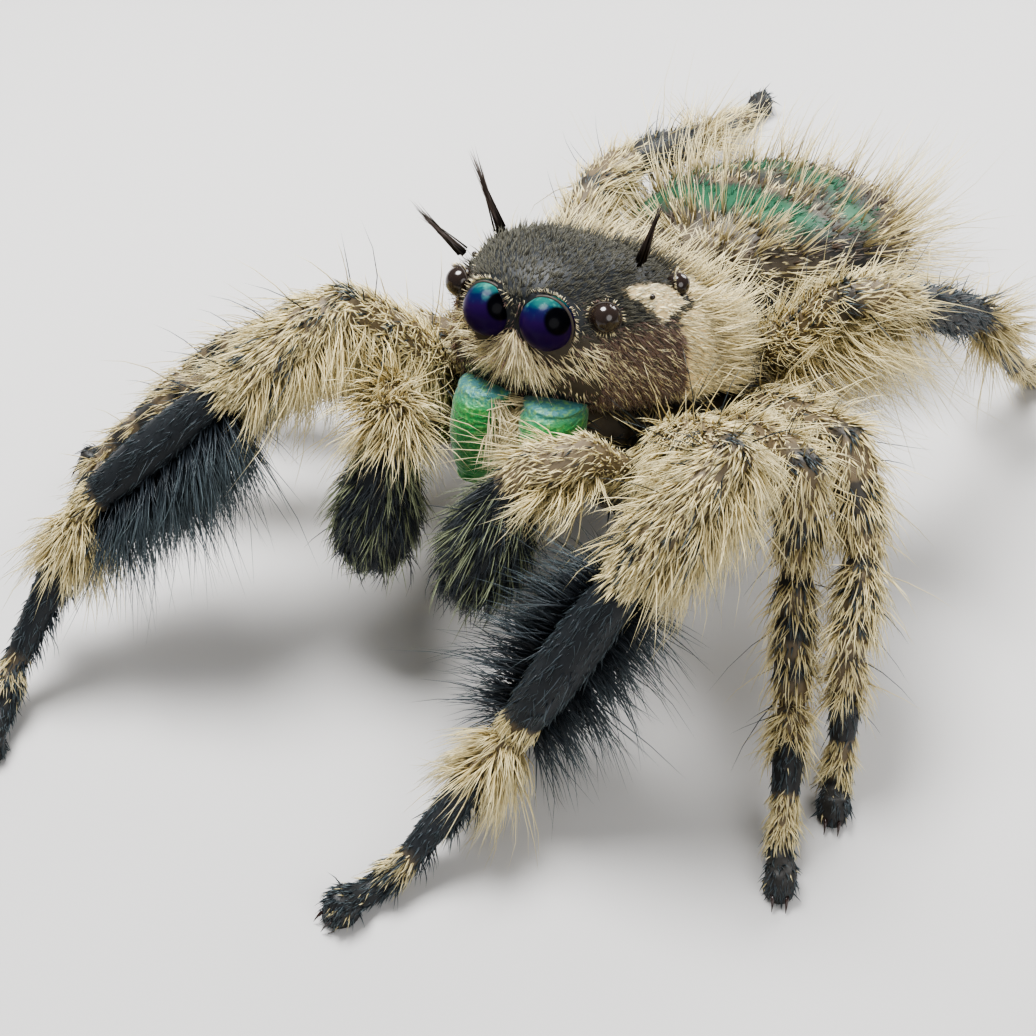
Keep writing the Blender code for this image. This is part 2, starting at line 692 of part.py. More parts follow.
def foot_ring(toe, frame, radius, sides):
    """The ring above the foot's flat, leaning half way between the tarsus and the floor."""
    level = unit(frame[0] * (1, 1, 0))
    lean = unit(unit(frame[0]) + np.array((0.0, 0.0, -1.0)))
    upward = np.cross(frame[1], lean)
    centre = toe + np.array((0.0, 0.0, FOOT_RISE)) - level * radius * 0.25
    return ring(centre, frame[1] * radius, upward * radius, sides)


def build_palp(word, arm, bulb_tip):
    """An arm of three segments and the bulb that hangs from it, parted at the wrist."""
    points = to_floor(arm + [bulb_tip])
    f = frames_along(points)
    half = SEAM / 2
    radii = PALP_RADII
    rings = [cross_ring(points[0], points[1], 0.0, f[0], radii[0], PALP_SIDES),
             joint_ring(points[1], f[0], f[1], radii[1], PALP_SIDES),
             joint_ring(points[2], f[1], f[2], radii[2], PALP_SIDES),
             joint_ring(points[3], f[2], f[3], radii[3], PALP_SIDES, -half)]
    upper = loft(f"palp_{word}_arm", rings)
    rings = [joint_ring(points[3], f[2], f[3], BULB_PROFILE[0][1], PALP_SIDES, half)]
    for t, radius in BULB_PROFILE[1:]:
        rings.append(cross_ring(points[3], points[4], t, f[3], radius, PALP_SIDES))
    lower = loft(f"palp_{word}_bulb", rings)
    return points, {0: upper, 1: upper, 2: upper, 3: lower}


def look_of(name):
    """The finish of a node, from its name."""
    for words, look in (("eye_", "eye"), ("chelicera", "green"), ("fang", "fang"), ("tibia", "dark"),
                        ("bulb", "dark"), ("waist", "dark"), ("mouthparts", "dark"), ("spinnerets", "dark"),
                        ("leg_", "cream"), ("palp_", "cream")):
        if words in name:
            return look
    return "scales"


def build():
    rng = random.Random(11)
    head = build_cephalothorax()
    build_eyes()
    build_underside()
    build_chelicerae()
    belly = build_abdomen()
    limbs = [(*build_leg(name), FORELEG_COAT if "_1_" in name else HINDLEG_COAT) for name in POSE]
    limbs.append((*build_palp("left", PALP_LEFT, BULB_TIP_LEFT), PALP_COAT + BULB_COAT))
    limbs.append((*build_palp("right", PALP_RIGHT, BULB_TIP_RIGHT), PALP_COAT + BULB_COAT))
    nodes = [o for o in bpy.context.scene.objects if o.type == "MESH"]
    coat = Coat(nodes)
    coat_carapace(coat, head, rng)
    for points, owners, plan in limbs:
        coat_segment(coat, owners, points, plan, rng)
    coat_abdomen(coat, belly, rng)
    for node in nodes:
        coat.fuse(node)
        finish(node, look_of(node.name))
    centre_on_floor()


def centre_on_floor():
    """Move every node sideways so that the middle of the model's box is over the origin."""
    nodes = [o for o in bpy.context.scene.objects if o.type == "MESH"]
    places = {}
    for node in nodes:
        flat = np.empty(len(node.data.vertices) * 3)
        node.data.vertices.foreach_get("co", flat)
        places[node.name] = flat.reshape(-1, 3)
    every = np.concatenate(list(places.values()))
    low, high = every.min(axis=0), every.max(axis=0)
    shift = np.array(((low[0] + high[0]) / 2, (low[1] + high[1]) / 2, low[2]))
    for node in nodes:
        node.data.vertices.foreach_set("co", (places[node.name] - shift).ravel())
        node.data.update()


for old in list(bpy.data.objects):
    bpy.data.objects.remove(old, do_unlink=True)
build()
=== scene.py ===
"""Dresses the canopy jumping spider: skin, eyes, jaws, claws and a coat of solid hairs.

Everything is worked out in millimetres and written in metres. The body has a
frame of its own: x to the spider's left, y to its rear, z up, with the origin
midway between the two large front eyes. Every surface is a function of two
numbers, q along the form and a round it, and the hairs are rooted on the same
functions, so skin and coat carry the same markings.
"""
import math
from collections import namedtuple

import bpy
import numpy as np
from mathutils import Matrix, Vector


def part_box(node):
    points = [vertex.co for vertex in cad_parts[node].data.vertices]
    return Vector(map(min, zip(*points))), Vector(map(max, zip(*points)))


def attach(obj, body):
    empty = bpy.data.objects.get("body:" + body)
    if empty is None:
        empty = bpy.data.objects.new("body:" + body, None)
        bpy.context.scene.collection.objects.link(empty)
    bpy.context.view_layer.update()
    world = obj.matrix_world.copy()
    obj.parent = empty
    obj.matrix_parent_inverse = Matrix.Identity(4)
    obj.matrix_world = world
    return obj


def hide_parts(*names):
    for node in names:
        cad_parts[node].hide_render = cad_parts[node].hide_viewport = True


bl_info = {
    "name": "Canopy jumping spider",
    "version": (1, 0, 0),
    "blender": (4, 5, 0),
    "location": "View3D > Sidebar > Spider",
    "description": "Skin, eyes, jaws, claws and coat of a life-size jumping spider",
    "category": "Object",
}

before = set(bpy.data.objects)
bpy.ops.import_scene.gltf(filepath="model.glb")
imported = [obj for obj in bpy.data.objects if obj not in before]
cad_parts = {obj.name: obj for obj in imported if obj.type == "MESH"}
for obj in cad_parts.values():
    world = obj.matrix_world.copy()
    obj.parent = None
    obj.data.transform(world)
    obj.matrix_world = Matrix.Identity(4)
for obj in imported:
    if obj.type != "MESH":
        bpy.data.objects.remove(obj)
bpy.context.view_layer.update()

MM = 0.001
TAU = 2.0 * math.pi
UP = np.array((0.0, 0.0, 1.0))

# Stance of the body over the floor
NOSE_UP = math.radians(12.4)
LEAN_RIGHT = math.radians(10.4)


def middle_of(node):
    """The middle of a node's box, in millimetres."""
    low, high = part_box(node)
    return np.array((low + high) / 2) / MM


def body_axes():
    """The body frame's axes in the floor's frame, as rows x, y, z."""
    sp, cp = math.sin(NOSE_UP), math.cos(NOSE_UP)
    sr, cr = math.sin(LEAN_RIGHT), math.cos(LEAN_RIGHT)
    return np.array([(cr, sr * sp, sr * cp), (0.0, cp, -sp), (-sr, cr * sp, cr * cp)])


AXES = body_axes()
EYES_AT = (middle_of("eye_front_median_left") + middle_of("eye_front_median_right")) / 2


def to_floor(points):
    """Body coordinates to the model's millimetres, for one point or an array of them."""
    return EYES_AT + np.asarray(points, float) @ AXES


# Carapace, as stations from the face to the rear: y, half width, top, lower margin
CARAPACE = [
    (-0.10, 0.72, 0.42, -0.72), (0.10, 1.05, 0.62, -0.86), (0.31, 1.28, 0.72, -0.90),
    (0.60, 1.48, 0.80, -0.96), (1.00, 1.70, 0.84, -1.04), (1.45, 1.86, 0.72, -1.14),
    (1.84, 2.00, 0.50, -1.26), (2.50, 2.04, 0.16, -1.28), (3.20, 1.86, -0.20, -1.28),
    (3.90, 1.48, -0.52, -1.26), (4.45, 1.14, -0.80, -1.30), (4.85, 0.62, -0.98, -1.28),
]
STERNUM = ((0.0, 2.25, -2.20), (0.62, 1.30, 0.34))
LIP = ((0.0, 0.72, -2.16), (0.52, 0.20, 0.36))
WAIST = ((0.0, 4.70, -1.16), (-0.08, 5.70, -1.36), 0.25)
ABDOMEN_FRONT = (0.0, 5.50, -1.34)
ABDOMEN_REAR = (0.25, 10.60, -1.70)
ABDOMEN_PROFILE = [(-0.012, 0.02), (0.0, 0.27), (0.06, 0.60), (0.16, 0.86), (0.32, 1.0), (0.50, 1.0),
                   (0.66, 0.93), (0.80, 0.76), (0.92, 0.50), (1.0, 0.24), (1.012, 0.02)]
ABDOMEN_HALF = (2.18, 1.18)
SPINNERET = (0.62, 0.13)

# Chelicerae: z, y of the middle, half width, half depth
CHELICERA = [
    (-1.06, 0.12, 0.05, 0.05), (-1.12, 0.10, 0.36, 0.34), (-1.24, 0.06, 0.43, 0.46),
    (-1.55, -0.02, 0.44, 0.54), (-2.05, -0.05, 0.41, 0.50), (-2.42, -0.02, 0.33, 0.40),
    (-2.56, 0.0, 0.24, 0.30), (-2.60, 0.0, 0.03, 0.04),
]
CHELICERA_X = 0.52
CHELICERA_SPREAD = 0.05

# Eyes: centre x (left side), y, z and radius
EYES = {
    "eye_front_median": (0.445, 0.00, 0.00, 0.38),
    "eye_front_lateral": (1.14, 0.31, 0.12, 0.21),
    "eye_middle": (1.42, 1.08, 0.19, 0.04),
    "eye_rear": (1.40, 1.84, 0.09, 0.17),
}

# Palps: points of the arm on each side with the bulb's tip last, and their radii
PALPS = {
    "left": [(1.32, 0.34, -2.12), (1.80, -0.42, -1.66), (1.66, -1.12, -1.18), (1.08, -1.82, -1.28),
             (0.42, -2.04, -3.20)],
    "right": [(-1.22, 0.30, -2.18), (-1.44, -0.50, -1.76), (-1.34, -1.08, -1.16), (-1.00, -1.62, -1.34),
              (-1.36, -1.76, -3.42)],
}
PALP_RINGS = [(0.0, 0.22), (0.5, 0.27), (1.0, 0.27), (1.5, 0.31), (2.0, 0.33), (2.5, 0.36), (2.9, 0.30),
              (3.12, 0.33), (3.28, 0.45), (3.46, 0.55), (3.68, 0.57), (3.88, 0.43), (3.98, 0.20), (4.0, 0.03)]

# Legs: hip and inner end of the coxa on the left side, then radii and pose
HIPS = {1: (1.62, 0.96, -1.96), 2: (1.86, 1.97, -1.98), 3: (1.86, 2.86, -1.98), 4: (1.74, 3.66, -1.98)}
COXAE = {1: (0.92, 1.20, -2.22), 2: (0.92, 1.95, -2.24), 3: (0.92, 2.70, -2.24), 4: (0.86, 3.42, -2.22)}
HIP_RADII = {1: (0.29, 0.38), 2: (0.29, 0.34), 3: (0.29, 0.33), 4: (0.28, 0.33)}
# Radii of femur, patella, tibia, metatarsus, tarsus and foot
LEG_RADII = {
    1: (0.50, 0.46, 0.38, 0.28, 0.25, 0.24),
    2: (0.42, 0.38, 0.32, 0.27, 0.25, 0.22),
    3: (0.40, 0.37, 0.32, 0.27, 0.25, 0.22),
    4: (0.46, 0.40, 0.36, 0.29, 0.25, 0.22),
}
# Each segment's length, bearing in degrees (from the left, counted towards the rear) and slope,
# from femur to tarsus
POSE = {
    "leg_1_left": [(3.30, -43, 41), (1.97, -111, -41), (2.70, -119, -57),
        (2.16, -103, -30), (1.02, -112, -25)],
    "leg_1_right": [(2.77, -121, 51), (1.99, -110, -16), (2.57, -126, -37),
        (2.40, -91, -44), (1.30, -70, -37)],
    "leg_2_left": [(2.79, -33, 30), (1.61, -41, -76), (1.82, -55, -51),
        (1.52, -64, -20), (1.03, -62, -35)],
    "leg_2_right": [(2.78, -133, 6), (1.65, -142, -10), (1.82, -138, -42),
        (1.17, -82, -21), (0.81, -74, -24)],
    "leg_3_left": [(2.74, -26, 27), (1.57, -46, -39), (1.23, -68, -30),
        (1.58, -52, -69), (0.92, -66, -47)],
    "leg_3_right": [(2.75, -146, 3), (1.45, -152, -12), (1.19, -140, -38),
        (1.35, -110, -32), (0.83, -100, -20)],
    "leg_4_left": [(2.63, -5, 59), (1.43, 64, -26), (2.36, 76, -33),
        (2.73, 75, -50), (1.15, 66, -31)],
    "leg_4_right": [(2.69, 107.6, 18.3), (1.46, 93, -10), (2.43, 91, -22),
        (2.63, 96, -21), (1.14, 88, -22)],
}
# Height of the foot's ankle over the floor
FOOT_RISE = 0.30
# Rings of a leg: place along it (whole numbers are joints), which radius, share of it
LEG_RINGS = [
    (0.00, "coxa", 0.9), (0.55, "coxa", 1.0), (1.00, "hip", 0.86), (1.22, "femur", 0.74),
    (1.50, "femur", 0.97), (1.76, "femur", 0.88), (1.93, "patella", 0.84), (2.00, "patella", 0.74),
    (2.12, "patella", 0.86), (2.50, "patella", 0.96), (2.86, "tibia", 0.92), (3.00, "tibia", 0.74),
    (3.12, "tibia", 0.88), (3.35, "tibia", 0.98), (3.70, "tibia", 0.93), (3.93, "metatarsus", 0.98),
    (4.00, "metatarsus", 0.80), (4.12, "metatarsus", 0.90), (4.40, "metatarsus", 0.92),
    (4.80, "tarsus", 0.88), (5.00, "tarsus", 0.76), (5.15, "tarsus", 0.84), (5.55, "tarsus", 0.84),
]
PARTS = ("femur", "patella", "tibia", "metatarsus", "tarsus", "sole")


# Sizes and colours a user would change

def tint(name, description, default):
    """A colour that a user can change."""
    return bpy.props.FloatVectorProperty(
        name=name, description=description, subtype="COLOR", size=3, default=default, min=0.0, max=1.0)


class SpiderSkin(bpy.types.PropertyGroup):
    inset: bpy.props.FloatProperty(
        name="Inset", description="How far the skin lies inside the solid model, in millimetres",
        default=0.04, min=0.0, max=0.2)
    cuticle: tint("Cuticle", "Colour of the bare dark skin", (0.014, 0.018, 0.023))
    jaw_green: tint("Jaw green", "Colour of the shining jaws", (0.030, 0.26, 0.060))
    jaw_teal: tint("Jaw teal", "Colour of the jaws near the face", (0.05, 0.19, 0.20))


class SpiderCoat(bpy.types.PropertyGroup):
    thickness: bpy.props.FloatProperty(
        name="Hair thickness", description="Half width of a long hair at its root, in millimetres",
        default=0.0118, min=0.005, max=0.06)
    fullness: bpy.props.FloatProperty(
        name="Fullness", description="Share of the full number of hairs",
        default=1.0, min=0.05, max=1.2, subtype="FACTOR")
    cream: tint("Cream", "Colour of the pale hairs", (0.73, 0.58, 0.27))
    ivory: tint("Ivory", "Colour of the pale hairs at their tips", (1.0, 0.92, 0.60))
    slate: tint("Slate", "Colour of the dark hairs", (0.022, 0.030, 0.040))
    umber: tint("Umber", "Colour of the dark hairs of the body", (0.095, 0.062, 0.042))
    green: tint("Green", "Colour of the shining scales on the abdomen", (0.035, 0.125, 0.058))


class SpiderEyes(bpy.types.PropertyGroup):
    violet: tint("Violet", "Deep colour of the large eyes", (0.016, 0.004, 0.048))
    blue: tint("Blue", "Colour of the large eyes between violet and teal", (0.003, 0.009, 0.055))
    # The teal is a painted reflection of the sky, which the eye shader lays on the side of the lens that
    # faces the sky.
    teal: tint("Teal", "Colour of the upper part of the large eyes", (0.018, 0.120, 0.105))


# Surfaces

def unit(vectors):
    """The vectors at length one, for one vector or rows of them."""
    vectors = np.asarray(vectors, float)
    return vectors / np.maximum(1e-9, np.linalg.norm(vectors, axis=-1, keepdims=True))


def across_of(ahead):
    """The level side vector and the upward vector that stand across a direction."""
    side = unit(np.cross(ahead, UP))
    return side, np.cross(side, ahead)


def rings_of(centres, sides, upwards):
    """Rows that hold a ring's centre, side vector and upward vector."""
    return np.concatenate([centres, sides, upwards], axis=-1)


def spline(knots, values, at):
    """Smooth curve through values: cubic pieces whose slopes at the knots come from their neighbours."""
    slopes = np.gradient(values, knots, axis=0)
    k = np.clip(np.searchsorted(knots, at, side="right") - 1, 0, len(knots) - 2)
    gap = (knots[k + 1] - knots[k])[..., None]
    t = np.clip((at[..., None] - knots[k][..., None]) / gap, 0.0, 1.0)
    return (values[k] * (1 + 2 * t) * (1 - t) ** 2 + slopes[k] * gap * t * (1 - t) ** 2
            + values[k + 1] * t * t * (3 - 2 * t) + slopes[k + 1] * gap * t * t * (t - 1))


class Form:
    """A closed form: at each q a ring, centre + cos(a) * side + sin(a) * upward.

    Cosine and sine may each be raised to a power, and the keel is the share of the height kept below.
    """

    def __init__(self, knots, rings, powers=(1.0, 1.0), keel=None):
        self.knots = np.asarray(knots, float)
        self.rings = np.asarray(rings, float)
        self.powers = powers
        self.keel = keel

    def point(self, q, a):
        row = spline(self.knots, self.rings, np.asarray(q, float))
        c, s = np.cos(a), np.sin(a)
        c = np.sign(c) * np.abs(c) ** self.powers[0]
        s = np.sign(s) * np.abs(s) ** self.powers[1]
        if self.keel is not None:
            s = np.where(s < 0, s * self.keel, s)
        return row[..., 0:3] + c[..., None] * row[..., 3:6] + s[..., None] * row[..., 6:9]

    def axes(self, q, a, step=0.004):
        """Point, unit tangent along q, unit tangent round a, and outward normal."""
        span = (self.knots[-1] - self.knots[0]) * step
        q = np.clip(q, self.knots[0] + 1.5 * span, self.knots[-1] - 1.5 * span)
        here = self.point(q, a)
        ahead = unit(self.point(q + span, a) - self.point(q - span, a))
        around = unit(self.point(q, a + 0.03) - self.point(q, a - 0.03))
        out = unit(np.cross(around, ahead))
        centre = spline(self.knots, self.rings, q)[..., 0:3]
        flip = np.sign(np.sum(out * (here - centre), axis=-1, keepdims=True))
        return here, ahead, around, out * np.where(flip == 0, 1.0, flip)

    def grid(self, along, sides):
        """Vertices, faces and their q and a, on a grid closed at both ends by a point."""
        q = np.linspace(self.knots[0], self.knots[-1], along)
        a = np.arange(sides) * TAU / sides
        qq, aa = np.meshgrid(q, a, indexing="ij")
        body = self.point(qq, aa).reshape(-1, 3)
        ends = np.array([body[:sides].mean(axis=0), body[-sides:].mean(axis=0)])
        k, i = np.meshgrid(np.arange(along - 1) * sides, np.arange(sides), indexing="ij")
        j = (i + 1) % sides
        quads = np.stack([k + i, k + j, k + sides + j, k + sides + i], -1).reshape(-1, 4)
        i, j = i[0], j[0]
        first, last = np.full(sides, along * sides), (along - 1) * sides
        caps = np.concatenate([np.stack([first, j, i], -1), np.stack([first + 1, last + i, last + j], -1)])
        place = np.concatenate([np.stack([qq.ravel(), aa.ravel()], -1), [[q[0], 0.0], [q[-1], 0.0]]])
        return np.concatenate([body, ends]), [quads, caps], place


def carapace_form(inset):
    """q is y behind the face. The flat of the face itself is drawn out over q from -0.70 to -0.10."""
    stations = [(-0.70, -0.17, 0.02, -0.20, -0.24), (-0.42, -0.16, 0.30, 0.05, -0.50)]
    stations += [(y, y, width, top, margin) for y, width, top, margin in CARAPACE]
    stations += [(4.98, 4.98, 0.20, -1.08, -1.20)]
    q, y, width, top, margin = np.array(stations).T
    half = np.maximum(width - inset, 0.05)[:, None]
    height = (top - margin - inset)[:, None]
    middles = to_floor(np.stack([0 * y, y, margin], -1))
    return Form(q, rings_of(middles, half * AXES[0], height * AXES[2]), (0.80, 0.90), keel=0.30)


def straight_form(knots, centres, halves):
    """A form along the body's own axes: rings at centres with half width and half height."""
    halves = np.array(halves, float)
    return Form(knots, rings_of(to_floor(centres), halves[:, :1] * AXES[0], halves[:, 1:] * AXES[2]))


def abdomen_form(inset):
    """q is the share of the way from the waist to the rear."""
    front, rear = np.array(ABDOMEN_FRONT), np.array(ABDOMEN_REAR)
    q, share = np.array(ABDOMEN_PROFILE).T
    halves = np.maximum(share[:, None] * ABDOMEN_HALF - inset, 0.02)
    return straight_form(q, front + (rear - front) * q[:, None], halves)


def ellipsoid_form(centre, half, inset):
    """q is the angle from the front pole to the rear one."""
    q = np.linspace(0.02, math.pi - 0.02, 9)
    centres = np.array(centre) + np.stack([0 * q, -half[1] * np.cos(q), 0 * q], -1)
    return straight_form(q, centres, (np.array((half[0], half[2])) - inset) * np.sin(q)[:, None])


def frames_along(points):
    """Direction, side and upward vectors of each segment of a chain."""
    ahead = unit(np.diff(points, axis=0))
    return (ahead, *across_of(ahead))


def chain_form(points, rings):
    """A form along a chain of joints. Rings near a joint lean half way between its two segments."""
    ahead, across, upward = frames_along(points)
    rows = []
    for q, radius in rings:
        k = min(int(q), len(ahead) - 1)
        share = q - k
        side, up = across[k], upward[k]
        if share < 0.05 and k > 0:
            lean = unit(ahead[k] + ahead[k - 1])
            side = across[k] + across[k - 1]
            side = unit(side - lean * float(side @ lean))
            up = np.cross(side, lean)
        rows.append(rings_of(points[k] + (points[k + 1] - points[k]) * share, side * radius, up * radius))
    return Form([q for q, _ in rings], rows)


def leg_points(name):
    """Joint places along one leg, from the coxa to the foot on the floor."""
    pair, mirror = int(name[4]), (1 if name.endswith("left") else -1, 1, 1)
    points = [to_floor(np.multiply(COXAE[pair], mirror)), to_floor(np.multiply(HIPS[pair], mirror))]
    for length, bearing, slope in POSE[name]:
        b, s = math.radians(bearing), math.radians(slope)
        step = np.array((math.cos(b) * math.cos(s), math.sin(b) * math.cos(s), math.sin(s)))
        points.append(points[-1] + length * step)
    points[-1][2] = 0.0
    points[-2][2] = max(points[-2][2], FOOT_RISE + 0.1)
    return np.array(points)


def leg_form(name, inset):
    """A leg over its chain of joints. The foot bends down to a small pad on the floor."""
    pair, points = int(name[4]), leg_points(name)
    radii = dict(zip(PARTS, LEG_RADII[pair]))
    radii["coxa"], radii["hip"] = HIP_RADII[pair]
    rings = [(-0.02, 0.03)] + [(q, max(radii[part] * share - inset, 0.03)) for q, part, share in LEG_RINGS]
    form = chain_form(points, rings)
    ahead, across, _ = (rows[-1] for rows in frames_along(points))
    toe, sole = points[-1], radii["sole"]
    level = unit(ahead * (1, 1, 0))
    ankle = np.cross(across, unit(ahead - UP))
    rows = [rings_of(toe + FOOT_RISE * UP - level * sole * 0.25, across * sole * 0.92, ankle * sole * 0.92),
            rings_of(toe + 0.08 * UP, across * sole * 0.85, level * sole * 0.95),
            rings_of(toe + 0.015 * UP, across * sole * 0.6, level * sole * 0.7),
            rings_of(toe + 0.012 * UP, across * 0.02, level * 0.02)]
    form.knots = np.concatenate([form.knots, [5.80, 5.95, 6.0, 6.01]])
    form.rings = np.concatenate([form.rings, rows])
    return form


def palp_form(word, inset):
    return chain_form(to_floor(PALPS[word]), [(q, max(r - inset, 0.02)) for q, r in PALP_RINGS])


def jaw_form(mirror):
    """q is the depth under the eyes, from the face down to the fang's base."""
    z, y, width, depth = np.array(CHELICERA).T
    centres = np.stack([mirror * (CHELICERA_X + CHELICERA_SPREAD * (-1.0 - z)), y, z], -1)
    return Form(-z, rings_of(to_floor(centres), width[:, None] * AXES[0], depth[:, None] * AXES[1]))


def tapered(t, middles, half, side, upward, steps, sides):
    """A closed grid along t: round rings about the middles, with the half widths given."""
    return Form(t, rings_of(middles, side * half[:, None], upward * half[:, None])).grid(steps, sides)


# Meshes

def new_mesh(name, vertices, face_groups):
    """A smooth mesh object from points in millimetres and arrays of faces of equal corner counts."""
    corners = np.concatenate([f.ravel() for f in face_groups])
    counts = np.concatenate([np.full(len(f), f.shape[1]) for f in face_groups])
    mesh = bpy.data.meshes.new(name)
    mesh.vertices.add(len(vertices))
    mesh.vertices.foreach_set("co", (np.asarray(vertices) * MM).astype(np.float32).ravel())
    mesh.loops.add(len(corners))
    mesh.loops.foreach_set("vertex_index", corners.astype(np.int32))
    mesh.polygons.add(len(counts))
    mesh.polygons.foreach_set("loop_start", (np.cumsum(counts) - counts).astype(np.int32))
    mesh.update(calc_edges=True)
    mesh.polygons.foreach_set("use_smooth", np.ones(len(counts), bool))
    mesh.validate()
    obj = bpy.data.objects.new(name, mesh)
    bpy.context.scene.collection.objects.link(obj)
    return obj


def set_values(obj, **values):
    """Float attributes on the points of a mesh."""
    for name, numbers in values.items():
        attribute = obj.data.attributes.new(name, "FLOAT", "POINT")
        attribute.data.foreach_set("value", np.asarray(numbers, np.float32).ravel())


def placed(obj, material, slot, *nodes):
    """Gives a finished piece its material and body, and hides the solids that it stands for; the slot is not
    used.
    """
    obj.data.materials.append(material)
    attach(obj, "root")
    if nodes:
        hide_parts(*nodes)
    return obj


def joined(parts):
    """Vertices and face arrays of several grids as one."""
    vertices, faces, start = [], {}, 0
    for points, groups, _ in parts:
        for group in groups:
            faces.setdefault(group.shape[1], []).append(group + start)
        start += len(points)
        vertices.append(points)
    return np.concatenate(vertices), [np.concatenate(faces[n]) for n in sorted(faces)]


def bands(q, steps, soft=0.05):
    """A value that goes from step to step along q: steps are (from q, value), each change soft."""
    value = np.full(np.shape(q), float(steps[0][1]))
    for (start, height), (_, before) in zip(steps[1:], steps[:-1]):
        rise = np.clip((q - start) / soft + 0.5, 0.0, 1.0)
        value = value + (height - before) * rise * rise * (3 - 2 * rise)
    return value


# Markings: how cream (0 dark to 1 cream) and how green each place is

FORELEG_CREAM = [(0.0, 0.5), (1.1, 0.95), (2.99, 0.0), (3.90, 1.0), (4.34, 0.0),
                 (4.92, 0.6), (5.22, 0.04)]
HINDLEG_CREAM = [(0.0, 0.5), (1.2, 0.80), (1.60, 0.90), (1.96, 0.1), (2.02, 0.95), (2.34, 0.18), (2.70, 0.98),
                 (3.02, 0.05), (3.14, 0.85), (3.30, 0.10), (3.52, 0.80), (3.66, 0.08), (3.82, 0.98),
                 (4.03, 0.30), (4.10, 0.95), (4.36, 0.05), (4.86, 0.95), (5.44, 0.10)]
REARLEG_CREAM = [(0.0, 0.5), (1.2, 0.80), (1.95, 0.25), (2.02, 0.95), (2.92, 0.06), (3.92, 0.95),
                 (4.34, 0.08), (4.86, 0.9), (5.44, 0.1)]
PALP_CREAM = [(0.0, 0.6), (1.2, 0.95), (3.05, 0.0)]
FACE_CREAM = [(-0.7, 0.92), (0.20, 0.78), (0.45, 0.66)]
REAR_CREAM = [(0.0, 0.0), (2.30, 0.62)]
# The dark line over the pale side band: its height in degrees at places behind the face
DARK_LINE = ((1.40, 1.68, 1.80, 1.95, 2.10), (28.5, 34, 36, 46, 62))
# Pale spots on each half of the abdomen: middle and reach
ABDOMEN_SPOTS = (((0.15, 58), (0.025, 9)), ((0.31, 76), (0.030, 16)), ((0.58, 26), (0.14, 11)),
                 ((0.66, 84), (0.03, 14)), ((0.80, 80), (0.03, 16)))


def spot(q, a, middle, reach):
    """A soft round spot: e to the minus squared distance, with q and degrees measured in their own reach."""
    turn = (np.degrees(a) - middle[1] + 180.0) % 360.0 - 180.0
    return np.exp(-((q - middle[0]) / reach[0]) ** 2 - (turn / reach[1]) ** 2)


def field(q, a, along, turn, soft):
    """A soft-edged field: 1 between two places along and two turns in degrees, falling to 0 past them."""
    degrees = np.degrees(a) % 360.0
    inside = np.minimum(q - along[0], along[1] - q) / soft[0]
    beside = np.minimum(degrees - turn[0], turn[1] - degrees) / soft[1]
    return np.clip(0.5 + 0.5 * np.minimum(inside, beside), 0.0, 1.0)


def blotches(q, a, scale, seed):
    """Soft spots from 0 to 1: a sum of six waves along q and a with seeded directions."""
    rng = np.random.default_rng(seed)
    total = np.zeros(np.shape(q))
    for _ in range(6):
        along, around, shift = rng.uniform(2, 7), rng.integers(1, 5), rng.uniform(0, TAU)
        total = total + np.sin(along * scale * q + around * a + shift)
    return 0.5 + 0.5 * np.clip(total / 3.2, -1, 1)


def banded(steps, soft):
    """The marking of a form that has bands along it and no green."""
    def marks(q, a):
        return bands(q, steps, soft), np.zeros(np.shape(q))
    return marks


hindleg_marks = banded(HINDLEG_CREAM, 0.03)
rearleg_marks = banded(REARLEG_CREAM, 0.03)
palp_marks = banded(PALP_CREAM, 0.04)
# Pale hair over the jaws, mixed with brown towards the cheeks
face_marks = banded(FACE_CREAM, 0.2)


def foreleg_marks(q, a):
    """Bands, with bare dark places on top, near both ends of the patella."""
    bare = spot(q, a, (2.80, 90), (0.07, 16)) + spot(q, a, (1.98, 90), (0.03, 40))
    return np.clip(bands(q, FORELEG_CREAM, 0.03) - 0.9 * bare, 0, 1), np.zeros(np.shape(q))


def height_on(a):
    """Degrees from the flank towards the midline, alike on both sides and above and below."""
    turn = np.abs((np.degrees(a) + 180.0) % 360.0 - 180.0)
    return np.where(turn > 90, 180 - turn, turn)


def eye_patch(q, turn):
    """Inside the pale patch: over a dark line that climbs rearwards, behind an edge that falls rearwards."""
    edge = np.maximum(26 + (q - 1.12) * 19.6, 43 - (q - 0.75) * 46)
    return (turn > edge) & (turn < 47) & (q > 0.75) & (q < 1.72)


def side_band(q, turn):
    """Inside the pale band down the side: behind the cheek and under the dark line."""
    return (q > 1.40) & (q < 2.45) & (turn < np.interp(q, *DARK_LINE))


def carapace_marks(q, a):
    """Pale scale patch before each rear eye, pale band down each side, pale hair behind the eye region."""
    turn = height_on(a)
    pale = (eye_patch(q, turn) | side_band(q, turn)).astype(float)
    cheek = 0.32 * ((q < 1.42) & (turn < 30))
    rear = bands(q, REAR_CREAM, 0.25)
    return np.maximum(pale, np.maximum(rear, cheek)), np.zeros(np.shape(q))


def abdomen_marks(q, a):
    """Mottled brown, with green across the front of the back and in pairs behind, pale spots and stripes."""
    green = 1.1 * field(q, a, (0.13, 0.25), (48, 150), (0.025, 10))
    pale = np.clip(0.16 + 1.2 * (blotches(q, a, 4.0, 5) - 0.45), 0.06, 0.62)
    for turned in (a, np.pi - a):
        pair = spot(q, turned, (0.52, 72), (0.08, 15)) + spot(q, turned, (0.40, 44), (0.07, 13))
        green = green + 1.2 * pair
        for middle, reach in ABDOMEN_SPOTS:
            here = spot(q, turned, middle, reach)
            pale = np.maximum(pale, here)
            green = green * (1 - here)
    front = spot(q, a, (0.03, 90), (0.05, 80))
    return np.clip(np.maximum(pale, 0.8 * front), 0, 1), np.clip(green, 0, 1)


# Hairs

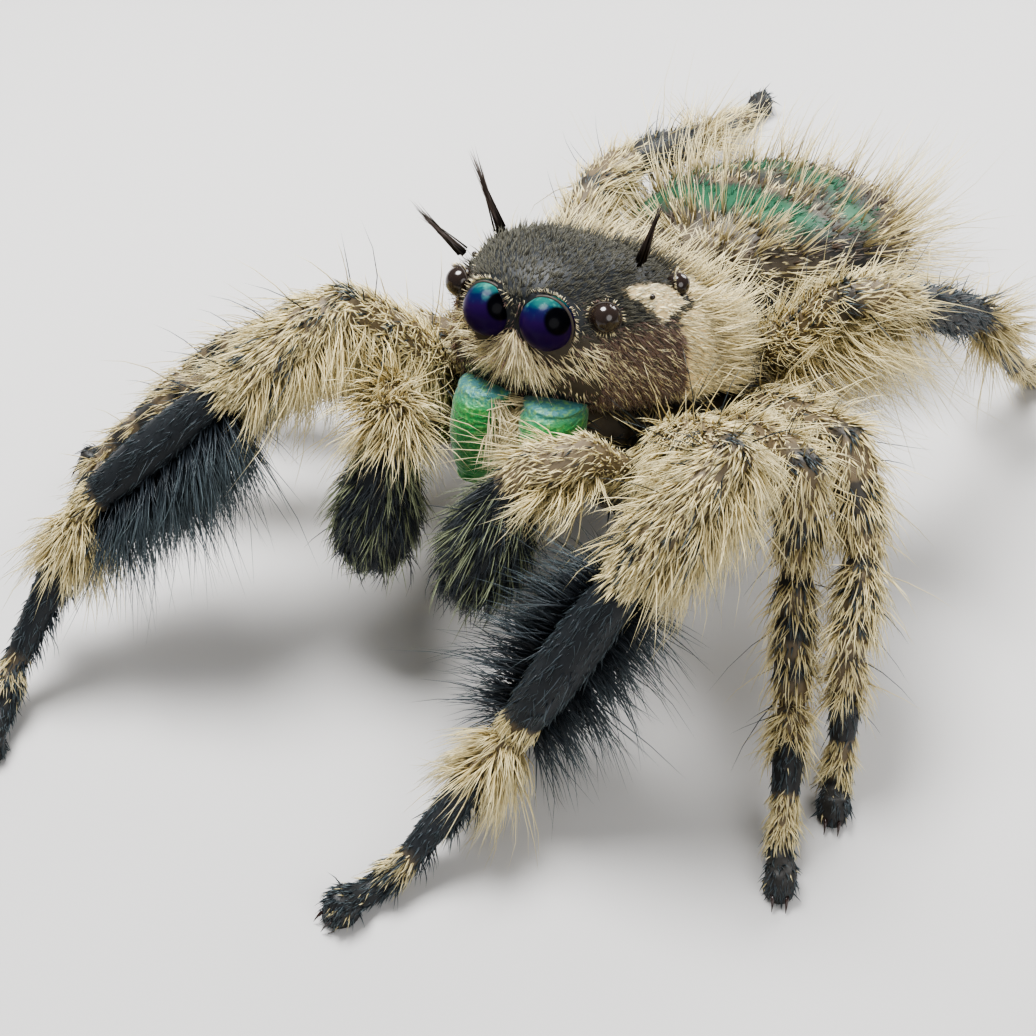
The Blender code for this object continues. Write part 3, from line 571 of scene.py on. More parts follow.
# A stretch of coat: range of q, range of angles in degrees (90 on top), number of tufts, hairs a tuft,
# length, stand, comb, curl, width and cream (None where the marking decides). See hairs() for their meaning.
Patch = namedtuple("Patch", "q a tufts clump length stand comb curl width cream")
# How far the hairs of a tuft fan out, how tufts differ in lean, stand and length, and single hairs in length
FAN = 0.15
TUFT_LEAN, TUFT_STAND, TUFT_GROWTH = 0.20, 0.10, 0.20
HAIR_GROWTH = 0.16
# How far hair roots lie apart in a tuft and under the skin, and the least height over the floor
TUFT_SPREAD, ROOT_DEPTH, LOW_HAIR = 0.03, 0.025, 0.02
# From this width on a hair is a flat scale
SCALE_WIDTH = 2.0
# The map under the coat: its margin, and a hair's own share of it
MAP_EDGE, MAP_HAIR = 0.03, 0.003


def strands(root, start, end, size, across, half, flat, levels):
    """Vertices, faces and shares of three-sided hairs.

    A hair follows root + size * (t * start + t * t * (end - start) / 2). Its half width is
    half * (1 - t) ** 0.7, its half depth flat times that, and it closes in a point.
    """
    count = len(root)
    t = np.linspace(0.0, 1.0, levels + 1)[:-1]
    rings = []
    for share in t:
        centre = root + size[:, None] * (share * start + share * share * (end - start) / 2)
        ahead = unit(start + share * (end - start))
        side = unit(across - ahead * np.sum(across * ahead, -1, keepdims=True))
        up = np.cross(side, ahead)
        reach = (half * (1 - share) ** 0.7)[:, None]
        for turn in (TAU / 4, TAU * 7 / 12, TAU * 11 / 12):
            rings.append(centre + side * reach * math.cos(turn) + up * reach * math.sin(turn) * flat)
    tip = root + size[:, None] * (start + end) / 2
    vertices = np.stack(rings + [tip], axis=1)
    template = [(2, 1, 0)]
    for k in range(levels - 1):
        for i in range(3):
            j = (i + 1) % 3
            template += [(3 * k + i, 3 * k + j, 3 * k + 3 + j), (3 * k + i, 3 * k + 3 + j, 3 * k + 3 + i)]
    last = 3 * (levels - 1)
    template += [(last + i, last + (i + 1) % 3, 3 * levels) for i in range(3)]
    faces = np.array(template)[None] + (np.arange(count) * (3 * levels + 1))[:, None, None]
    vertices = vertices.reshape(-1, 3)
    vertices[:, 2] = np.maximum(vertices[:, 2], LOW_HAIR)
    return vertices, faces.reshape(-1, 3), np.append(np.repeat(t, 3), 1.0)


def batch_of(shape, levels, cream, green, tone, q, a):
    """The arrays of one batch of hairs, each value given for every vertex."""
    points, faces, along = shape
    count, per = len(q), 3 * levels + 1
    turn = np.append(np.tile([0.0, 0.5, 1.0], levels), 0.5)
    batch = {key: np.repeat(np.broadcast_to(value, count), per)
             for key, value in dict(cream=cream, green=green, tone=tone, q=q, a=a).items()}
    return dict(batch, points=points, faces=faces, along=np.tile(along, count), turn=np.tile(turn, count))


def other_side(patch):
    """The patch mirrored from one side of a form to the other."""
    return patch._replace(a=(180 - patch.a[1], 180 - patch.a[0]))


def thinned(patch, share):
    """The patch with a share of its tufts."""
    return patch._replace(tufts=max(1, int(patch.tufts * share)))


def straight_down(points):
    return -UP


def hairs(form, q, a, patch, marks, rng, thickness, pull=straight_down):
    """Hairs rooted at q and a on a form.

    They lean from the outward direction by the patch's stand towards their lie, which is ahead along the
    form for comb 0 and along the pull, mostly down, for comb 1. Curl bends them into the lie towards the tip.
    The hairs of a tuft share their lie and colour.
    """
    tufts, clump = len(q), patch.clump
    lean = rng.normal(0.0, TUFT_LEAN, tufts)
    rise = patch.stand + rng.normal(0.0, TUFT_STAND, tufts)
    grow = np.exp(rng.normal(0.0, TUFT_GROWTH, tufts))
    tone = rng.uniform(0, 1, tufts)
    q, a, lean, rise, grow, tone, cream, green = (
        np.repeat(values, clump) for values in (q, a, lean, rise, grow, tone, *marks))
    count = len(q)
    lean = lean + rng.normal(0.0, FAN, count)
    rise = np.clip(rise + rng.normal(0.0, FAN * 0.6, count), 0.03, 1.0) * math.pi / 2
    grow = grow * np.exp(rng.normal(0.0, HAIR_GROWTH, count))
    tone = np.clip(tone * 0.6 + rng.uniform(0, 1, count) * 0.4, 0, 1)
    root, ahead, around, out = form.axes(q, a)
    if clump > 1:
        root = root + (ahead * rng.normal(0, TUFT_SPREAD, (count, 1))
                       + around * rng.normal(0, TUFT_SPREAD, (count, 1)))
    down = pull(root) - out * np.sum(out * pull(root), -1, keepdims=True)
    lying = unit(ahead * (1 - patch.comb) + unit(down) * patch.comb + 1e-6 * around)
    lying = lying * np.cos(lean)[:, None] + np.cross(out, lying) * np.sin(lean)[:, None]
    start = out * np.sin(rise)[:, None] + lying * np.cos(rise)[:, None]
    low = rise * (1 - patch.curl)
    end = out * np.sin(low)[:, None] + lying * np.cos(low)[:, None] + rng.normal(0, 0.14, (count, 3))
    size = patch.length * grow
    across = unit(np.cross(lying, out) + rng.normal(0, 0.25, (count, 3)))
    half = thickness * patch.width * rng.uniform(0.75, 1.2, count)
    flat = 0.4 if patch.width >= SCALE_WIDTH else 0.9
    levels = 2 if clump == 1 and patch.length < 0.4 else 3
    shape = strands(root - out * ROOT_DEPTH, start, end, size, across, half, flat, levels)
    return batch_of(shape, levels, cream, green, tone, q, a)


def scatter(form, rng, count, patch, where=None):
    """Roots spread evenly over a patch: random places on the form, picked in step with their area."""
    tries = 5 * count
    q = rng.uniform(*patch.q, tries)
    a = np.radians(rng.uniform(*patch.a, tries))
    step = (form.knots[-1] - form.knots[0]) * 0.002
    here = form.point(q, a)
    ahead = form.point(np.minimum(q + step, form.knots[-1]), a) - here
    area = np.linalg.norm(np.cross(ahead, form.point(q, a + 0.01) - here), axis=1)
    if where is not None:
        area = area * where(here, q, a)
    picked = rng.choice(tries, min(count, int((area > 0).sum())), replace=False, p=area / area.sum())
    return q[picked], a[picked]


def grown(form, plan, marking, seed, coat, where=None, pull=straight_down):
    """Batches of hairs for every patch of a plan, pale or dark and green or not by the marking's odds."""
    rng = np.random.default_rng(seed)
    batches = []
    for patch in plan:
        count = max(1, int(patch.tufts * coat.fullness))
        q, a = scatter(form, rng, count, patch, where)
        shares = marking(q, a) if patch.cream is None else (patch.cream, 0.0)
        marks = [(rng.uniform(0, 1, len(q)) < m).astype(float) for m in shares]
        batch = hairs(form, q, a, patch, marks, rng, coat.thickness, pull)
        batch["high"] = np.clip((batch["q"] - form.knots[0]) / (form.knots[-1] - form.knots[0]), 0, 1)
        batches.append(batch)
    return batches


def coat_piece(name, batches, slot, material):
    """One mesh from batches of hairs, with its markings and the OFBake map.

    The map unrolls the form under the coat: a round it across, q along it upward. Every hair is a small
    square at its root's place.
    """
    vertices = np.concatenate([b["points"] for b in batches])
    starts = np.cumsum([0] + [len(b["points"]) for b in batches[:-1]])
    faces = np.concatenate([b["faces"] + s for b, s in zip(batches, starts)])
    obj = new_mesh(name, vertices, [faces])
    for key in ("along", "cream", "green", "tone"):
        set_values(obj, **{key: np.concatenate([b[key] for b in batches])})
    span = 1.0 - 2 * MAP_EDGE
    across = np.concatenate([span * (b["a"] / TAU % 1.0) + (b["turn"] - 0.5) * MAP_HAIR for b in batches])
    upward = np.concatenate([span * b["high"] + (b["along"] - 0.5) * MAP_HAIR for b in batches])
    places = MAP_EDGE + np.stack([across, upward], -1)
    layer = obj.data.uv_layers.new(name="OFBake")
    corner = np.empty(len(obj.data.loops), np.int32)
    obj.data.loops.foreach_get("vertex_index", corner)
    layer.data.foreach_set("uv", places[corner].astype(np.float32).ravel())
    return placed(obj, material, slot)


# Materials

class Nodes:
    """A short way to place and link nodes in a tree."""

    def __init__(self, tree):
        self.tree = tree

    def add(self, kind, inputs=(), **settings):
        node = self.tree.nodes.new(kind)
        for key, value in settings.items():
            setattr(node, key, value)
        for key, value in dict(inputs).items():
            socket = node.inputs[key]
            if isinstance(value, bpy.types.NodeSocket):
                self.tree.links.new(value, socket)
            else:
                socket.default_value = value
        return node

    def math(self, operation, a, b=0.0, clamp=False):
        return self.add("ShaderNodeMath", {0: a, 1: b}, operation=operation, use_clamp=clamp).outputs[0]

    def mix(self, factor, a, b, blend="MIX"):
        node = self.add("ShaderNodeMix", {0: factor, 6: a, 7: b}, data_type="RGBA", blend_type=blend)
        return node.outputs[2]

    def value(self, name):
        return self.add("ShaderNodeAttribute", attribute_name=name).outputs["Fac"]

    def coords(self):
        """Object coordinates."""
        return self.add("ShaderNodeTexCoord").outputs["Object"]

    def noise(self, coords, scale, detail=2.0):
        return self.add("ShaderNodeTexNoise", {"Vector": coords, "Scale": scale, "Detail": detail}).outputs[0]

    def remap(self, value, *limits, **settings):
        """The value taken from one range to another: from low, from high, to low, to high."""
        inputs = dict(enumerate((value, *limits)))
        return self.add("ShaderNodeMapRange", inputs, **settings).outputs[0]

    def bump(self, height, strength, distance=0.00003):
        node = self.add("ShaderNodeBump", {"Height": height, "Strength": strength, "Distance": distance})
        return node.outputs["Normal"]


def colour(rgb):
    return (*rgb, 1.0)


def new_material(name):
    """A material with its shader and a maker of its nodes."""
    material = bpy.data.materials.new(name)
    material.use_nodes = True
    return material, material.node_tree.nodes["Principled BSDF"], Nodes(material.node_tree)


def wire(shader, make, links, **numbers):
    """Links outputs to the shader's sockets and sets numbers on others, with _ for a blank in a name."""
    for socket, output in links.items():
        make.tree.links.new(output, shader.inputs[socket])
    for socket, number in numbers.items():
        shader.inputs[socket.replace("_", " ")].default_value = number


def new_group(name, inputs, outputs):
    """An empty node group with its sockets: (name, socket type) pairs."""
    group = bpy.data.node_groups.new(name, "ShaderNodeTree")
    for label, kind in inputs:
        group.interface.new_socket(label, in_out="INPUT", socket_type=kind)
    for label, kind in outputs:
        group.interface.new_socket(label, in_out="OUTPUT", socket_type=kind)
    make = Nodes(group)
    return group, make, make.add("NodeGroupInput"), make.add("NodeGroupOutput")


def marking_group():
    """Colour of a place from its cream and green shares, varied by tone and paler towards the tip, with
    painted shade that darkens the roots.
    """
    group, make, given, result = new_group(
        "Spider marking",
        [("Dark", "NodeSocketColor"), ("Pale", "NodeSocketColor"), ("Pale tip", "NodeSocketColor"),
         ("Green", "NodeSocketColor"), ("Tip grey", "NodeSocketColor")],
        [("Color", "NodeSocketColor"), ("Green share", "NodeSocketFloat")])
    along, cream, green, tone = (make.value(n) for n in ("along", "cream", "green", "tone"))
    dark, pale, pale_tip, shining, grey_tip_and_sheen = given.outputs[:5]
    pale = make.mix(make.math("MULTIPLY", along, 0.9, True), pale, pale_tip)
    # Painted shade: roots are darkened to 0.42 of their colour, rising to full strength at 0.4 of the way
    # out, as if the hairs above shaded them; bare skin takes this painted shade through its own along.
    depth = make.remap(along, 0.0, 0.40, 0.42, 1.05)
    tone_and_root_shade = make.math("MULTIPLY", make.math("ADD", make.math("MULTIPLY", tone, 0.70), 0.52), depth)
    tone_and_root_shade = make.add("ShaderNodeCombineColor", {0: tone_and_root_shade, 1: tone_and_root_shade, 2: tone_and_root_shade}).outputs[0]
    # Dark hairs turn grey towards the tip: partly their own pale tips, partly a painted sheen.
    dark = make.mix(make.math("MULTIPLY", make.math("POWER", along, 2.0), 0.60), dark, grey_tip_and_sheen)
    both = make.mix(1.0, make.mix(cream, dark, pale), tone_and_root_shade, "MULTIPLY")
    cooler = make.mix(1.0, shining, (0.7, 1.0, 1.25, 1.0), "MULTIPLY")
    both = make.mix(green, both, make.mix(tone, shining, cooler))
    make.tree.links.new(both, result.inputs[0])
    make.tree.links.new(green, result.inputs[1])
    return group


def coat_material(name, dark, coat, roughness=0.5, pale=None, tip=None, grey=(0.16, 0.18, 0.17), sheen=0.0):
    """Coat colours from the marking group. Dark, pale, tip and grey are colours; grey is partly the dark
    hairs' own pale tips and partly a painted sheen.
    """
    material, shader, make = new_material(name)
    group = make.add("ShaderNodeGroup", node_tree=bpy.data.node_groups["Spider marking"])
    for socket, rgb in (("Dark", dark), ("Pale", pale or coat.cream), ("Pale tip", tip or coat.ivory),
                        ("Green", coat.green), ("Tip grey", grey)):
        group.inputs[socket].default_value = colour(rgb)
    shine = make.math("MULTIPLY", group.outputs["Green share"], 0.4)
    wire(shader, make, {"Base Color": group.outputs["Color"], "Metallic": shine}, Roughness=roughness,
         Specular_IOR_Level=0.4, Sheen_Weight=sheen, Sheen_Roughness=0.5)
    return material


def skin_material(skin, coat):
    """The coat's markings on bare skin, browner where the coat is pale, over a fine grain."""
    brown, scale = (0.09, 0.066, 0.048), (0.88, 0.68, 0.37)
    material = coat_material("spider_skin", skin.cuticle, coat, 0.50, brown, scale)
    make = Nodes(material.node_tree)
    grain = make.bump(make.noise(make.coords(), 9000.0, 3.0), 0.35)
    wire(make.tree.nodes["Principled BSDF"], make, {"Normal": grain})
    return material


def jaw_material(skin):
    """Green of the jaws, teal towards the face, over fine cross wrinkles."""
    material, shader, make = new_material("spider_jaw")
    coords = make.coords()
    share = make.math("ADD", make.value("along"), make.math("MULTIPLY", make.noise(coords, 1400.0), 0.3))
    base = make.mix(make.remap(share, 0.22, 0.34), colour(skin.jaw_teal), colour(skin.jaw_green))
    fleck = make.noise(coords, 15000.0, 3.0)
    base = make.mix(make.remap(fleck, 0.48, 0.68, 0.0, 0.75), base, (0.20, 0.44, 0.12, 1.0))
    wave = make.add("ShaderNodeTexWave", {"Vector": coords, "Scale": 4200.0, "Distortion": 5.0, "Detail": 2.0,
                                          "Detail Scale": 2.0}, bands_direction="Z")
    height = make.math("ADD", make.math("MULTIPLY", wave.outputs["Fac"], 0.35), fleck)
    wire(shader, make, {"Base Color": base, "Normal": make.bump(height, 0.6)},
         Metallic=0.25, Roughness=0.48, Sheen_Weight=0.25)
    return material


def plain_material(name, rgb, roughness, gloss=0.0):
    """One dark horn or lens colour, faintly clouded."""
    material, shader, make = new_material(name)
    coords = make.coords()
    cloud = colour([min(1.0, c * 2.2 + 0.004) for c in rgb])
    base = make.mix(make.noise(coords, 5000.0), colour(rgb), cloud)
    wire(shader, make, {"Base Color": base}, Roughness=roughness, Coat_Weight=gloss)
    return material


def eye_material(eyes):
    """Violet lens with a painted teal reflection of the sky on the side that faces it, flecked with painted
    mint glints, and a black pupil, from the attributes sky and pupil.
    """
    material, shader, make = new_material("spider_eye")
    coords = make.coords()
    cloud = make.math("MULTIPLY", make.noise(coords, 3600.0, 3.0), 0.55)
    share = make.remap(make.math("ADD", make.value("sky"), cloud), 0.52, 1.16)
    ramp = make.add("ShaderNodeValToRGB", {0: share})
    stops = ramp.color_ramp.elements
    stops[0].color, stops[1].color = colour(eyes.violet), colour(eyes.teal)
    stops.new(0.55).color = colour(eyes.blue)
    # Painted glints: mint flecks inside the painted sky reflection.
    painted_glint = make.remap(make.noise(coords, 7000.0), 0.52, 0.72)
    painted_glint = make.math("MULTIPLY", painted_glint, make.math("POWER", share, 2.0))
    base = make.mix(painted_glint, ramp.outputs[0], (0.10, 0.34, 0.26, 1.0))
    clear = make.remap(make.value("pupil"), 0.44, 0.58, interpolation_type="SMOOTHSTEP")
    base = make.mix(clear, (0.0006, 0.0006, 0.002, 1.0), base)
    wire(shader, make, {"Base Color": base},
         Roughness=0.30, Specular_IOR_Level=0.05, Coat_Weight=0.05, Coat_Roughness=0.05)
    return material


def settings_of(context):
    """The skin's, the coat's and the eyes' settings."""
    scene = context.scene
    return scene.spider_skin, scene.spider_coat, scene.spider_eyes


# Operators

class SPIDER_OT_stage(bpy.types.Operator):
    """Pale floor, soft lights and the camera"""
    bl_idname = "spider.stage"
    bl_label = "Stage"

    # The camera's place, its axes as columns, its angle of view in degrees and its clip distances in metres
    camera_from_eyes = (9.757, -15.811, 15.565)
    camera_axes = ((0.8338, 0.551, 0.0358), (-0.4198, 0.5906, 0.6892), (0.3586, -0.5896, 0.7237))
    field_of_view = 32.0
    sensor = 36.0
    clip = (0.0005, 5.0)
    # Half width of the floor and its grid lines
    floor_reach, floor_lines = 400.0, 24
    floor_colour = (0.62, 0.61, 0.60)
    # Lights: from where over the floor, size, strength in watts, and the height that they aim at
    lights = (
        ((-16.0, 2.0, 42.0), 22.0, 0.038),
        ((34.0, -18.0, 30.0), 34.0, 0.009),
        ((4.0, 40.0, 24.0), 24.0, 0.014),
    )
    aim_height = 2.0
    sky_colour, sky_strength = (0.98, 0.98, 1.0), 0.30

    def camera(self):
        data = bpy.data.cameras.new("camera")
        data.sensor_width = self.sensor
        data.lens = self.sensor / 2 / math.tan(math.radians(self.field_of_view / 2))
        data.clip_start, data.clip_end = self.clip
        view = bpy.data.objects.new("camera", data)
        turn = Matrix(np.array([unit(axis) for axis in self.camera_axes]).T.tolist()).to_4x4()
        view.matrix_world = Matrix.Translation(Vector((EYES_AT + self.camera_from_eyes) * MM)) @ turn
        return view

    def floor(self):
        """A level square of floor_lines by floor_lines points."""
        steps = self.floor_lines
        line = np.linspace(-self.floor_reach, self.floor_reach, steps)
        x, y = np.meshgrid(line, line, indexing="ij")
        i, j = np.meshgrid(np.arange(steps - 1), np.arange(steps - 1), indexing="ij")
        k = i * steps + j
        points = np.stack([x, y, np.zeros_like(x)], -1).reshape(-1, 3)
        obj = new_mesh("floor", points, [np.stack([k, k + steps, k + steps + 1, k + 1], -1).reshape(-1, 4)])
        material, shader, make = new_material("floor")
        wire(shader, make, {}, Base_Color=colour(self.floor_colour), Roughness=0.6)
        obj.data.materials.append(material)
        return obj

    def lamp(self, place, size, power):
        """A round soft light that aims at the model's middle."""
        light = bpy.data.lights.new("softbox", "AREA")
        light.shape, light.size, light.energy = "DISK", size * MM, power
        obj = bpy.data.objects.new("softbox", light)
        obj.location = Vector(place) * MM
        obj.rotation_mode = "QUATERNION"
        aim = Vector((0.0, 0.0, self.aim_height)) - Vector(place)
        obj.rotation_quaternion = aim.to_track_quat("-Z", "Y")
        return obj

    def execute(self, context):
        scene = context.scene
        scene.camera = self.camera()
        scene.collection.objects.link(scene.camera)
        self.floor()
        for light in self.lights:
            scene.collection.objects.link(self.lamp(*light))
        scene.world = bpy.data.worlds.new("studio")
        scene.world.use_nodes = True
        sky = scene.world.node_tree.nodes["Background"]
        sky.inputs["Color"].default_value = colour(self.sky_colour)
        sky.inputs["Strength"].default_value = self.sky_strength
        scene.view_settings.look = "AgX - Medium High Contrast"
        return {"FINISHED"}


class SPIDER_OT_skin(bpy.types.Operator):
    """The skin of body, legs and palps, under the coat"""
    bl_idname = "spider.skin"
    bl_label = "Skin"

    # The cream of the skin where no marking stands, and the places of the four spinnerets, x and z
    bare_cream = 0.1
    spinnerets = ((-0.13, 0.10), (0.13, 0.10), (-0.12, -0.14), (0.12, -0.14))

    def forms(self, inset):
        """Every form with its marking and its steps along and round."""
        yield carapace_form(inset), carapace_marks, 110, 96
        yield abdomen_form(inset), abdomen_marks, 80, 72
        yield ellipsoid_form(*STERNUM, inset), None, 24, 24
        yield ellipsoid_form(*LIP, inset), None, 16, 20
        front, rear, radius = WAIST
        middles, halves = np.linspace(front, rear, 3), [(radius - inset,) * 2] * 3
        yield straight_form((0.0, 0.5, 1.0), middles, halves), None, 8, 16
        leg_marks = {"1": foreleg_marks, "2": hindleg_marks, "3": hindleg_marks, "4": rearleg_marks}
        for name in POSE:
            yield leg_form(name, inset), leg_marks[name[4]], 150, 28
        for word in PALPS:
            yield palp_form(word, inset), palp_marks, 80, 28
        for x, z in self.spinnerets:
            yield self.spinneret(x, z), None, 12, 12

    def spinneret(self, x, z):
        """A short finger at the abdomen's rear, spread a little sideways."""
        length, radius = SPINNERET
        root = np.array(ABDOMEN_REAR) + (x, 0.0, z)
        tip = root + (0.2 * x, length, 0.0)
        centres = [root - (0, 0.2, 0), root + (0, 0.3, 0), tip - (0, 0.05, 0), tip]
        halves = [(half,) * 2 for half in (radius, radius * 0.9, radius * 0.5, 0.01)]
        return straight_form((0.0, 0.5, 0.9, 1.0), centres, halves)

    def execute(self, context):
        skin, coat, _ = settings_of(context)
        parts, shares = [], []
        for form, marks, steps, sides in self.forms(skin.inset):
            part = form.grid(steps, sides)
            q, a = part[2].T
            cream, green = marks(q, a) if marks else (np.full(len(q), self.bare_cream), np.zeros(len(q)))
            # The scale patch and the side band take the colour of hair tips; the rest takes the colour of
            # hair roots, with their painted root shade
            light = (cream == 1.0) if marks is carapace_marks else np.zeros(len(q))
            parts.append(part)
            shares.append((cream, green, 0.2 + 0.8 * light))
        obj = new_mesh("skin", *joined(parts))
        cream, green, along = (np.concatenate(values) for values in zip(*shares))
        set_values(obj, cream=cream, green=green, tone=np.full(len(cream), 0.5), along=along)
        flesh = ["cephalothorax", "sternum", "mouthparts", "waist", "abdomen", "spinnerets"]
        flesh += [f"{leg}_{part}" for leg in POSE for part in ("femur", "tibia", "foot")]
        flesh += [f"palp_{word}_{part}" for word in PALPS for part in ("arm", "bulb")]
        placed(obj, skin_material(skin, coat), "dark_cuticle", *flesh)
        return {"FINISHED"}


class SPIDER_OT_eyes(bpy.types.Operator):
    """The eight eyes and the rims that hold them"""
    bl_idname = "spider.eyes"
    bl_label = "Eyes"

    # Where each eye looks, in the body frame, for the left side
    looks = {"eye_front_median": (0.10, -1.0, 0.02), "eye_front_lateral": (0.45, -1.0, 0.10),
             "eye_middle": (1.0, -0.2, 0.25), "eye_rear": (1.0, 0.35, 0.25)}

    # Where the pupils point and where the painted reflection of the sky lies, in the floor's frame
    gaze = (0.65, -0.38, 0.65)
    sky = (-0.19, 0.36, 0.90)
    # As shares of the radius: how far a lens is drawn out, and the rim's section and place before the centre
    bulge = 1.04
    rim_section, rim_ahead = 0.06, 0.12

    def ball(self, centre, radius, ahead, segments, rings):
        """A ball round its looking direction, drawn out a little at the front as a lens."""
        side, up = across_of(ahead)
        angle = np.linspace(0.02, math.pi - 0.02, rings)
        front = np.cos(angle)
        centres = centre + ahead * (radius * front * np.where(front > 0, self.bulge, 1.0))[:, None]
        points, faces, _ = tapered(angle, centres, radius * np.sin(angle), side, up, rings, segments)
        return points, faces

    def rim(self, centre, radius, ahead, sides=40, rings=12):
        """A ring of round section about an eye: its circle has the eye's radius, in front of the centre."""
        side, up = across_of(ahead)
        turn, around = np.meshgrid(np.arange(sides) * TAU / sides, np.arange(rings) * TAU / rings,
                                   indexing="ij")
        spoke = np.cos(turn)[..., None] * side + np.sin(turn)[..., None] * up
        section = radius * self.rim_section
        out = (radius + section * np.cos(around))[..., None]
        forward = (radius * self.rim_ahead + section * np.sin(around))[..., None]
        points = centre + spoke * out + ahead * forward
        i, j = np.meshgrid(np.arange(sides), np.arange(rings), indexing="ij")
        ii, jj = (i + 1) % sides, (j + 1) % rings
        faces = np.stack([i * rings + jj, ii * rings + jj, ii * rings + j, i * rings + j], -1)
        return points.reshape(-1, 3), [faces.reshape(-1, 4)], None

    def execute(self, context):
        lens = eye_material(settings_of(context)[2])
        brown = plain_material("spider_small_eye", (0.012, 0.007, 0.005), 0.16, 0.25)
        rims = []
        for mirror, word in ((1, "left"), (-1, "right")):
            for name, (x, y, z, radius) in EYES.items():
                centre = to_floor((x * mirror, y, z))
                ahead = unit(np.multiply(self.looks[name], (mirror, 1, 1)) @ AXES)
                large = name == "eye_front_median"
                points, faces = self.ball(centre, radius, ahead, *((48, 36) if large else (28, 20)))
                obj = new_mesh(f"{name}_lens_{word}", points, faces)
                away = unit(points - centre)
                pupil = np.linalg.norm(away - unit(self.gaze), axis=1)
                set_values(obj, sky=away @ unit(self.sky), pupil=pupil)
                placed(obj, lens if large else brown, "eye", f"{name}_{word}")
                rims.append(self.rim(centre, radius, ahead))
        horn = plain_material("spider_eye_rim", (0.032, 0.025, 0.020), 0.6)
        placed(new_mesh("eye_rims", *joined(rims)), horn, "dark_cuticle")
        return {"FINISHED"}


class SPIDER_OT_jaws(bpy.types.Operator):
    """The chelicerae, their fangs and the foot claws"""
    bl_idname = "spider.jaws"
    bl_label = "Jaws and claws"

    # The left fang in the body frame: root and way, then length, bend rearwards and half width
    fang_root, fang_way = (CHELICERA_X + 0.10, 0.02, -2.50), (-0.34, 0.26, -0.55)
    fang_length, fang_bend, fang_half = 0.74, 0.12, 0.21
    # How far the wrinkles of the jaws stand out
    wrinkle = 0.0010
    # The claws: their distance to either side of the toe, ahead of it and over the floor, and their length
    claw_apart, claw_ahead, claw_rise, claw_length = 0.09, 0.16, 0.13, 0.20

    def chelicera(self, mirror):
        """The jaw with fine cross wrinkles: two waves push it out by wrinkle, and run slantwise round it."""
        form = jaw_form(mirror)
        points, faces, place = form.grid(70, 56)
        q, a = place.T
        away = unit(points - spline(form.knots, form.rings, q)[:, :3])
        waves = np.sin(q * 34 + 2.0 * np.sin(3 * a)) + 0.6 * np.sin(q * 61 + 5 * a)
        along = (q - form.knots[0]) / (form.knots[-1] - form.knots[0])
        return points + away * (self.wrinkle * waves)[:, None], faces, along

    def fang(self, mirror):
        """A hook along root + length * t * way, bent rearwards by bend * t * t, that narrows to a point."""
        t = np.linspace(0, 1, 7)
        way = unit(np.multiply(self.fang_way, (mirror, 1, 1)))
        middles = (np.multiply(self.fang_root, (mirror, 1, 1)) + way * self.fang_length * t[:, None]
                   + np.array((0.0, self.fang_bend, 0.0)) * (t * t)[:, None])
        half = self.fang_half * (1 - t) ** 0.8 + 0.012
        return tapered(t, to_floor(middles), half, AXES[0], AXES[1], 24, 20)

    def claw(self, points, mirror):
        """A small hook before the toe: a shallow arch that falls by 0.09 towards its point."""
        t = np.linspace(0, 1, 6)
        ahead = unit((points[-1] - points[-2]) * (1, 1, 0))
        across = np.array((-ahead[1], ahead[0], 0.0))
        start = points[-1] + ahead * self.claw_ahead + across * self.claw_apart * mirror + UP * self.claw_rise
        arch = 0.03 * np.sin(t * math.pi) - 0.09 * t * t
        middles = start + ahead * (self.claw_length * t)[:, None] + UP * arch[:, None]
        return tapered(t, middles, 0.035 * (1 - t) + 0.004, across, UP, 12, 8)

    def execute(self, context):
        green = jaw_material(settings_of(context)[0])
        horn = plain_material("spider_horn", (0.018, 0.007, 0.005), 0.25, 0.5)
        for mirror, word in ((1, "left"), (-1, "right")):
            points, faces, along = self.chelicera(mirror)
            obj = new_mesh(f"chelicera_shell_{word}", points, faces)
            set_values(obj, along=along)
            placed(obj, green, "green_chelicera", f"chelicera_{word}")
            points, faces, _ = self.fang(mirror)
            placed(new_mesh(f"fang_hook_{word}", points, faces), horn, "fang", f"fang_{word}")
        claws = [self.claw(leg_points(name), mirror) for name in POSE for mirror in (-1, 1)]
        placed(new_mesh("foot_claws", *joined(claws)), horn, "fang")
        return {"FINISHED"}


